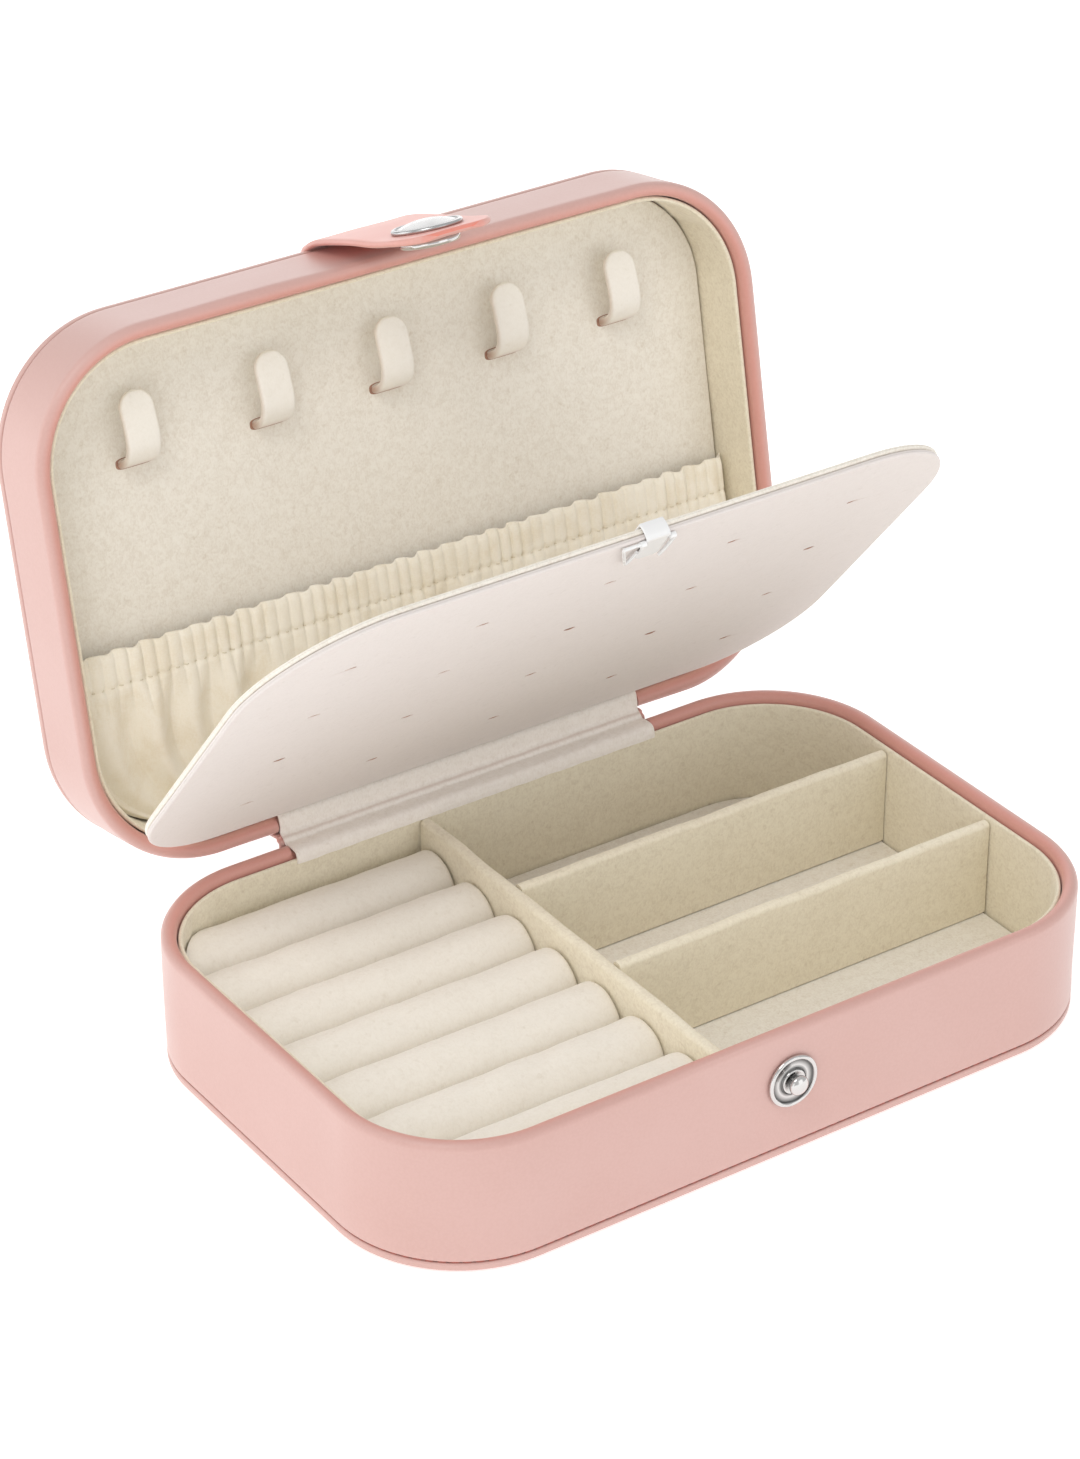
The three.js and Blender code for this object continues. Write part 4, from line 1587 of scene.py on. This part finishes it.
        # Painted shade: the velvet drawn into each slit takes the shade colour on the card's outer
        # face.
        painted_shade = np.clip(self.relief(x, y) / 0.42 - 0.15, 0, 1)
        surface = Surface().grid(upper, flip=True, tint=painted_shade * (side > 0))
        surface.grid(lower, tint=painted_shade * (side < 0))
        Piece(f"{name}_velvet", surface, self.place, finish, (name,), sharp=80).make()

    def build_slit_lips(self) -> None:
        """Painted shadow: the dark inside of each slit, drawn as a short bowed line in the drawn-in
        velvet.
        """
        columns, rows = self.slit_middles()
        pivot_y, pivot_z = BOX.board_pivot
        share = np.linspace(-1, 1, 9)
        paths = []
        for column in columns:
            for row in rows:
                scale = float(self.half_width(np.array(row))) / (self.width / 2)
                for side in (-1, 1):
                    height = side * (self.gap / 2 + self.card - 0.33)
                    path = np.stack(
                        [
                            column * scale + share * self.slit / 2,
                            row + pivot_y + 0.12 * (1 - share**2),
                            pivot_z + height + side * 0.16 * (1 - share**2),
                        ],
                        axis=-1,
                    )
                    paths.append(path)
        surface = Surface().threads(np.array(paths), 0.13)
        Piece("board_slit_shadows", surface, self.place, Finish.SLIT).make()

    def skew(self, y: Array) -> Array:
        """Sideways shift of the crookedly fitted clip at each y."""
        return self.clip_skew * (y - BOX.board_pivot[0] + self.depth - self.clip_front)

    def build_clip(self) -> None:
        """A white plate folded over the free edge, with rolled lugs and two wire bails."""
        pivot_y, pivot_z = BOX.board_pivot
        edge = -self.depth - 2 * self.clip_gap
        reach = self.gap / 2 + self.card + 2 * self.clip_gap
        around = arc((0, 0), 1, -90, -270, 11)
        fold = np.stack([edge + 0.55 + 0.55 * around[:, 0], -reach * -around[:, 1]], axis=-1)
        front = [[edge + self.clip_front, -reach], [edge + 4.0, -reach]]
        back = [[edge + 4.0, reach], [edge + 6.6, reach]]
        line = np.vstack([front, fold, back])
        path = smooth_path(line, 64) + [pivot_y, pivot_z]
        run = run_along(path)
        round_foot = self.clip_half - 0.9 * (1 - smooth_step(run, 0.0, 1.1)) ** 2
        thick = np.full(len(path), 0.5)
        points = band(path, round_foot, thick, self.clip_x, 14)
        points[..., 0] += self.skew(points[..., 1])
        surface = Surface().grid(points, wrap_v=True, caps="u")
        for side in (-1, 1):
            lug = np.full((4, 3), [0.0, pivot_y + edge + 1.3, pivot_z - reach - 0.15])
            lug[:, 0] = self.clip_x + side * np.array([2.75, 3.1, 3.5, 3.9])
            lug[:, 0] += self.skew(lug[:, 1])
            surface.grid(tube(lug, 0.62, 14), wrap_v=True, caps="u")
        Piece(
            "edge_clip", surface, self.place, Finish.WHITE, ("edge_clip_plate",), sharp=40
        ).make()
        out_and_down = [(0, 1.0), (3.6, 1.05), (4.0, 1.5), (1.5, 8.1)]
        and_back = [(1.1, 8.6), (0.7, 8.0), (0.1, 4.4)]
        self.build_bail("edge_clip_bail_left", -1, out_and_down + and_back)
        along_the_side = [(0, 1.0), (0.7, 1.9), (0.8, 3.0), (0.6, 6.5), (0.1, 9.6)]
        self.build_bail("edge_clip_bail_right", 1, along_the_side)

    def build_bail(self, node: str, side: int, steps: Sequence[tuple[float, float]]) -> None:
        """A bent wire beside the plate.

        Args:
            node: The frame's node that it stands for.
            side: -1 for the left and 1 for the right.
            steps: Points as steps outward from the plate and down from the board's edge.
        """
        pivot_y, pivot_z = BOX.board_pivot
        x = self.clip_x + side * (self.clip_half + 0.65)
        edge = pivot_y - self.depth - self.clip_gap
        z = pivot_z - (self.gap / 2 + self.card + self.clip_gap) - 0.35
        out, down = np.array(steps).T
        stations = np.stack([x + side * out, edge + down, z - 0.1 * (down > 1.2)], axis=-1)
        stations[:, 0] += self.skew(stations[:, 1])
        path = smooth_path(stations, 80)
        surface = Surface().grid(tube(path, self.wire, 12), wrap_v=True, caps="u")
        Piece(f"{node}_wire", surface, self.place, Finish.WHITE, (node,)).make()

    def build(self) -> None:
        """Builds cards, slits and clip."""
        self.build_card("board_front_card", -1, Finish.BOARD_VELVET)
        self.build_card("board_back_card", 1, Finish.VELVET)
        self.build_slit_lips()
        self.build_clip()


def thin_out(values: Array, least: float) -> Array:
    """Sorts values and drops those closer than least to the one before."""
    ordered = np.unique(np.round(values, 5))
    kept = np.concatenate([[True], np.diff(ordered) > least])
    kept[-1] = True
    return ordered[kept]


# ------------------------------------------------------------------ strap and snap


@dataclass
class StrapAndSnap:
    """The closing strap with its snap, and the snap's stud on the front wall."""

    place: Place
    width: float = 22.0
    thickness: float = 1.3
    snap_height: float = 16.5
    lift: float = 5.3
    below: float = 10.0
    corner: float = 7.0
    anchor: float = 14.0
    cap_radius: float = 7.0
    socket_radius: float = 6.0
    socket_bore: float = 3.0

    @property
    def along_snap(self) -> float:
        """Distance from the strap's root down to the snap."""
        return BOX.closed_top - 0.5 - self.snap_height

    def stand_off(self, along: Array | float) -> Array:
        """Strap's inner face off the front wall: a straight rise with a low hump at the root."""
        share = np.asarray(along, float) / self.along_snap
        hump = 1.1 * np.sin(np.pi * np.minimum(share, 1)) * (1 - share)
        return 0.3 + (self.lift - 0.3) * share + hump

    def build_strap(self) -> None:
        """The strap from its glued root over the lid's edge down to its round end."""
        front, top, half = -BOX.half_depth, BOX.closed_top, self.thickness / 2
        end = self.along_snap + self.below
        root = np.array([[front + self.anchor, top + 0.3 + half], [front + 7, top + 0.32 + half]])
        over_the_edge = [(front + 2.2, top + 0.3 + half), (front + 0.3, top + half - 0.1)]
        bend = [*over_the_edge, (front - 0.62, top - 0.9)]
        along = np.linspace(3.2, end, 11)
        free = np.stack(
            [front - self.stand_off(along) - half, BOX.closed_top - 0.5 - along], axis=-1
        )
        path = smooth_path(np.vstack([root, bend, free]), 120)
        run = run_along(path)
        left = run[-1] - run
        corner = np.clip(1 - left / self.corner, 0, 1)
        half_width = self.width / 2 - self.corner * (1 - np.sqrt(1 - corner**2))
        soft = quarter_round(left / half)
        thickness = self.thickness * np.maximum(soft, 0.03)
        across = 26
        points = band(path, half_width, thickness, 0.0, across)
        points[..., 1] += 0.05 * ripple(points, 14.0, 77)
        # The underside takes half the leather's redder edge colour as painted shade; the round
        # edges and the tip take a quarter of it.
        side = np.abs(points[..., 0]) - half_width[:, None]
        under = np.zeros(points.shape[:2])
        round_edge = points.shape[1] // 2 - across
        under[:, across + round_edge : 2 * across + round_edge] = 0.5
        edge = 0.25 * smooth_step(side, -0.75, -0.35)
        edge = edge + 0.25 * smooth_step(0.8 - left, 0, 0.5)[:, None]
        tint = np.clip(edge + under, 0, 1)
        surface = Surface().grid(points, wrap_v=True, caps="u", tint=tint)
        strap = Piece(
            "strap_leather",
            surface,
            self.place,
            Finish.STRAP_LEATHER,
            ("closure_strap", "strap_anchor"),
        ).make(ride=False)
        ends = np.array([[0.0, front - 0.2, top - 0.2], [0.0, front - 1.6, top - 5.5]])
        start, stop = self.place.apply(ends) * MM
        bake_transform(strap)

    def snap_place(self, points: Array) -> Array:
        """Carries a turned piece, z along its axis, to the strap's snap point."""
        here = self.along_snap
        slope = (self.stand_off(here + 1) - self.stand_off(here - 1)) / 2
        tilt = math.atan(float(slope))
        inward = np.array([0.0, -math.cos(tilt), math.sin(tilt)])
        up = np.array([0.0, math.sin(tilt), math.cos(tilt)])
        right = np.array([1.0, 0.0, 0.0])
        origin = np.array([0.0, -BOX.half_depth - float(self.stand_off(here)), self.snap_height])
        return origin + points[..., :1] * right + points[..., 1:2] * up + points[..., 2:] * inward

    def turned(
        self, profile: Array, grooves: Sequence[tuple[float, float]]
    ) -> tuple[Array, Array]:
        """A lathe shape with painted shade in its grooves.

        Args:
            profile: Pairs of radius and height.
            grooves: Middles of the grooves that take painted shade, as radius and height.

        Returns:
            The points and their share of painted shade.
        """
        dark = np.zeros(len(profile))
        for radius, height in grooves:
            away = np.hypot(profile[:, 0] - radius, profile[:, 1] - height)
            dark = np.maximum(dark, 1 - smooth_step(away, 0.12, 0.55))
        points = lathe(profile)
        return points, np.broadcast_to(dark, points.shape[:2])

    def build_cap(self) -> None:
        """The cap on the outside: a low polished dome in a rolled bright rim."""
        seat, r = self.thickness - 0.05, self.cap_radius
        rim = arc((r - 0.5, seat + 0.5), 0.5, -90, 110, 14)
        groove = np.array([[r - 0.92, seat + 0.80], [r - 1.1, seat + 0.76]])
        share = np.linspace(1, 0, 24)
        dome = np.stack([(r - 1.25) * share, seat + 0.82 + 1.15 * (1 - share**2.0)], axis=-1)
        profile = np.vstack([[[0.0, seat]], rim, groove, dome])
        # The groove round the dome is darkened as painted shade.
        points, dark = self.turned(profile, [(r - 1.05, seat + 0.78)])
        surface = Surface().grid(self.snap_place(points), wrap_u=True, tint=dark)
        Piece("snap_cap_steel", surface, self.place, Finish.CHROME_CAP, ("snap_cap",)).make()

    def build_socket(self) -> None:
        """The ring under the strap: a rolled rim round the hollow that takes the stud."""
        r, bore, low = self.socket_radius, self.socket_bore, -2.05
        outer = arc((r - 0.75, -1.05), 0.75, -75, 75, 13)
        inner = arc((bore + 0.45, low + 0.45), 0.45, 180, 275, 8)
        foot = np.array([[4.1, low + 0.1], [4.6, low + 0.22]])
        profile = np.vstack([[[0.0, -0.6], [bore - 0.2, -0.6], [bore, -0.8]], inner, foot, outer])
        profile = np.vstack([profile, [[r - 1.2, -0.2], [r - 1.6, -0.05], [0.0, -0.05]]])
        hollow = [(bore, -0.9), (bore - 0.4, -0.6), (0.0, -0.6), (1.5, -0.6)]
        # The hollow that takes the stud is darkened as painted shade.
        points, dark = self.turned(profile, hollow)
        surface = Surface().grid(self.snap_place(points), wrap_u=True, tint=dark)
        Piece("snap_socket_steel", surface, self.place, Finish.CHROME, ("snap_socket",)).make()

    def build_stud(self) -> None:
        """The stud on the front wall: a dished flange with a rolled rim and a ball on a neck."""
        rim = arc((5.03, 0.47), 0.47, -90, 165, 16)
        dish = np.array([[4.45, 0.42], [4.2, 0.38], [3.4, 0.36], [2.8, 0.42], [2.6, 0.62]])
        collar = arc((2.3, 0.66), 0.28, 0, 120, 6)
        neck = np.array([[1.75, 0.72], [1.25, 0.8], [1.1, 1.05], [1.1, 1.35]])
        ball = arc((0.0, 0.0), 1.0, -55, 90, 20) * [2.05, 1.15] + [0, 2.2]
        profile = np.vstack([[[0.0, 0.0]], rim, dish, collar, neck, ball])
        # The dish's edges and the neck are darkened as painted shade.
        points, dark = self.turned(profile, [(4.45, 0.42), (2.75, 0.42), (1.15, 1.0), (1.3, 0.8)])
        points = np.stack(
            [points[..., 0], -BOX.half_depth - points[..., 2], self.snap_height + points[..., 1]],
            axis=-1,
        )
        surface = Surface().grid(points, wrap_u=True, tint=dark)
        Piece("snap_stud_steel", surface, BOX.base_place(), Finish.CHROME, ("snap_stud",)).make()

    def build(self) -> None:
        """Builds strap and snap."""
        self.build_strap()
        self.build_cap()
        self.build_socket()
        self.build_stud()


# ------------------------------------------------------------------ camera, light and floor


@dataclass(frozen=True)
class Studio:
    """A pale floor, soft light and a camera."""

    azimuth: float = -34.166
    elevation: float = 30.518
    roll: float = -0.259
    distance: float = 852.597
    across: float = -15.862
    upward: float = 56.385
    lens: float = 145.445
    surround: float = 0.68
    warm: Colour = (1.0, 0.99, 0.98)

    def build_camera(self) -> None:
        """The camera, placed by its direction, distance and offsets from the frame's origin."""
        a, e, r = (math.radians(v) for v in (self.azimuth, self.elevation, self.roll))
        back = np.array([math.sin(a) * math.cos(e), -math.cos(a) * math.cos(e), math.sin(e)])
        right = np.array([math.cos(a), math.sin(a), 0.0])
        up = np.cross(back, right)
        place = back * self.distance + right * self.across + up * self.upward
        turned_right = math.cos(r) * right + math.sin(r) * up
        turned_up = -math.sin(r) * right + math.cos(r) * up
        matrix = Matrix.Identity(4)
        for column, vector in enumerate((turned_right, turned_up, back, place * MM)):
            for row in range(3):
                matrix[row][column] = float(vector[row])
        data = bpy.data.cameras.new("camera")
        data.lens = self.lens
        data.sensor_width = 36.0
        data.sensor_fit = "HORIZONTAL"
        data.clip_start, data.clip_end = 0.01, 20.0
        camera = bpy.data.objects.new("camera", data)
        camera.matrix_world = matrix
        bpy.context.scene.collection.objects.link(camera)
        bpy.context.scene.camera = camera

    def area_light(self, name: str, place: Colour, size: float, power: float, tint: Colour) -> None:
        """A square soft light that faces the middle of the box.

        Args:
            name: The light's name.
            place: Where it stands, in metres.
            size: Its side, in metres.
            power: Its power in watts.
            tint: Its colour.
        """
        data = bpy.data.lights.new(name, "AREA")
        data.size, data.energy, data.color = size, power, tint
        light = bpy.data.objects.new(name, data)
        light.location = place
        target = Vector((0.0, 0.02, 0.05))
        light.rotation_euler = (target - Vector(place)).to_track_quat("-Z", "Y").to_euler()
        bpy.context.scene.collection.objects.link(light)

    def build_floor(self) -> None:
        """A large pale floor."""
        recipe = Recipe("floor")
        recipe.set(
            Base_Color=(0.9, 0.9, 0.9, 1.0),
            Roughness=0.9,
            Specular_IOR_Level=0.1,
            Emission_Color=(1.0, 1.0, 1.0, 1.0),
            Emission_Strength=0.5,
        )
        mesh = bpy.data.meshes.new("floor")
        reach = 6.0
        corners = [(-reach, -reach, 0), (reach, -reach, 0), (reach, reach, 0), (-reach, reach, 0)]
        mesh.from_pydata(corners, [], [(0, 1, 2, 3)])
        mesh.materials.append(recipe.material)
        floor = bpy.data.objects.new("floor", mesh)
        floor.location = (0.0, 0.0, -0.0004)
        bpy.context.scene.collection.objects.link(floor)

    def build(self) -> None:
        """Builds camera, world, lights and floor."""
        self.build_camera()
        self.build_floor()
        scene = bpy.context.scene
        scene.view_settings.view_transform = "Standard"
        scene.view_settings.exposure = 0.0
        world = bpy.data.worlds.new("studio")
        world.use_nodes = True
        background = world.node_tree.nodes["Background"]
        background.inputs["Color"].default_value = (1.0, 1.0, 1.0, 1.0)
        background.inputs["Strength"].default_value = self.surround
        scene.world = world
        self.area_light("key", (-0.6, -0.4, 1.2), 0.5, 4.0, (1.0, 0.99, 0.97))
        self.area_light("side", (-0.9, 0.65, 0.35), 0.9, 3.0, self.warm)
        self.area_light("corner", (-1.0, -0.7, 0.25), 0.6, 0.8, self.warm)
        self.area_light("front", (0.45, -1.2, 0.4), 0.8, 1.6, (1.0, 1.0, 1.0))
        self.area_light("back", (0.65, 1.1, 0.4), 1.0, 2.6, self.warm)


# ------------------------------------------------------------------ the whole box


def dress_hidden_nodes(frame: dict) -> None:
    """Gives the stud's washer, the one frame node that stays as it is, its finish."""
    washer = frame["nodes"]["snap_stud_washer"]
    washer.data.materials.clear()
    washer.data.materials.append(Finish.CHROME.material())


def main() -> None:
    """Builds the jewellery box around the frame."""
    logging.basicConfig(level=logging.INFO, format="%(name)s: %(message)s")
    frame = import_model()

    Studio().build()
    Shell("base", "bottom", BOX.base_height, BOX.base_place()).build("base_floor_pad", 2.0)
    lid = Shell("lid", "top", BOX.lid_height, BOX.lid_shell_place(), crown=0.6, painted_strap_glow=0.8)
    lid.build("lid_pad", 1.5)
    BaseInterior(BOX.base_place()).build()
    NecklaceHooks(BOX.lid_shell_place()).build()
    ElasticPocket(BOX.lid_shell_place()).build()
    HingeStrips(BOX.opening_turn).build()
    EarringBoard(BOX.board_place()).build()
    StrapAndSnap(BOX.strap_place()).build()
    dress_hidden_nodes(frame)


if __name__ == "__main__":
    main()
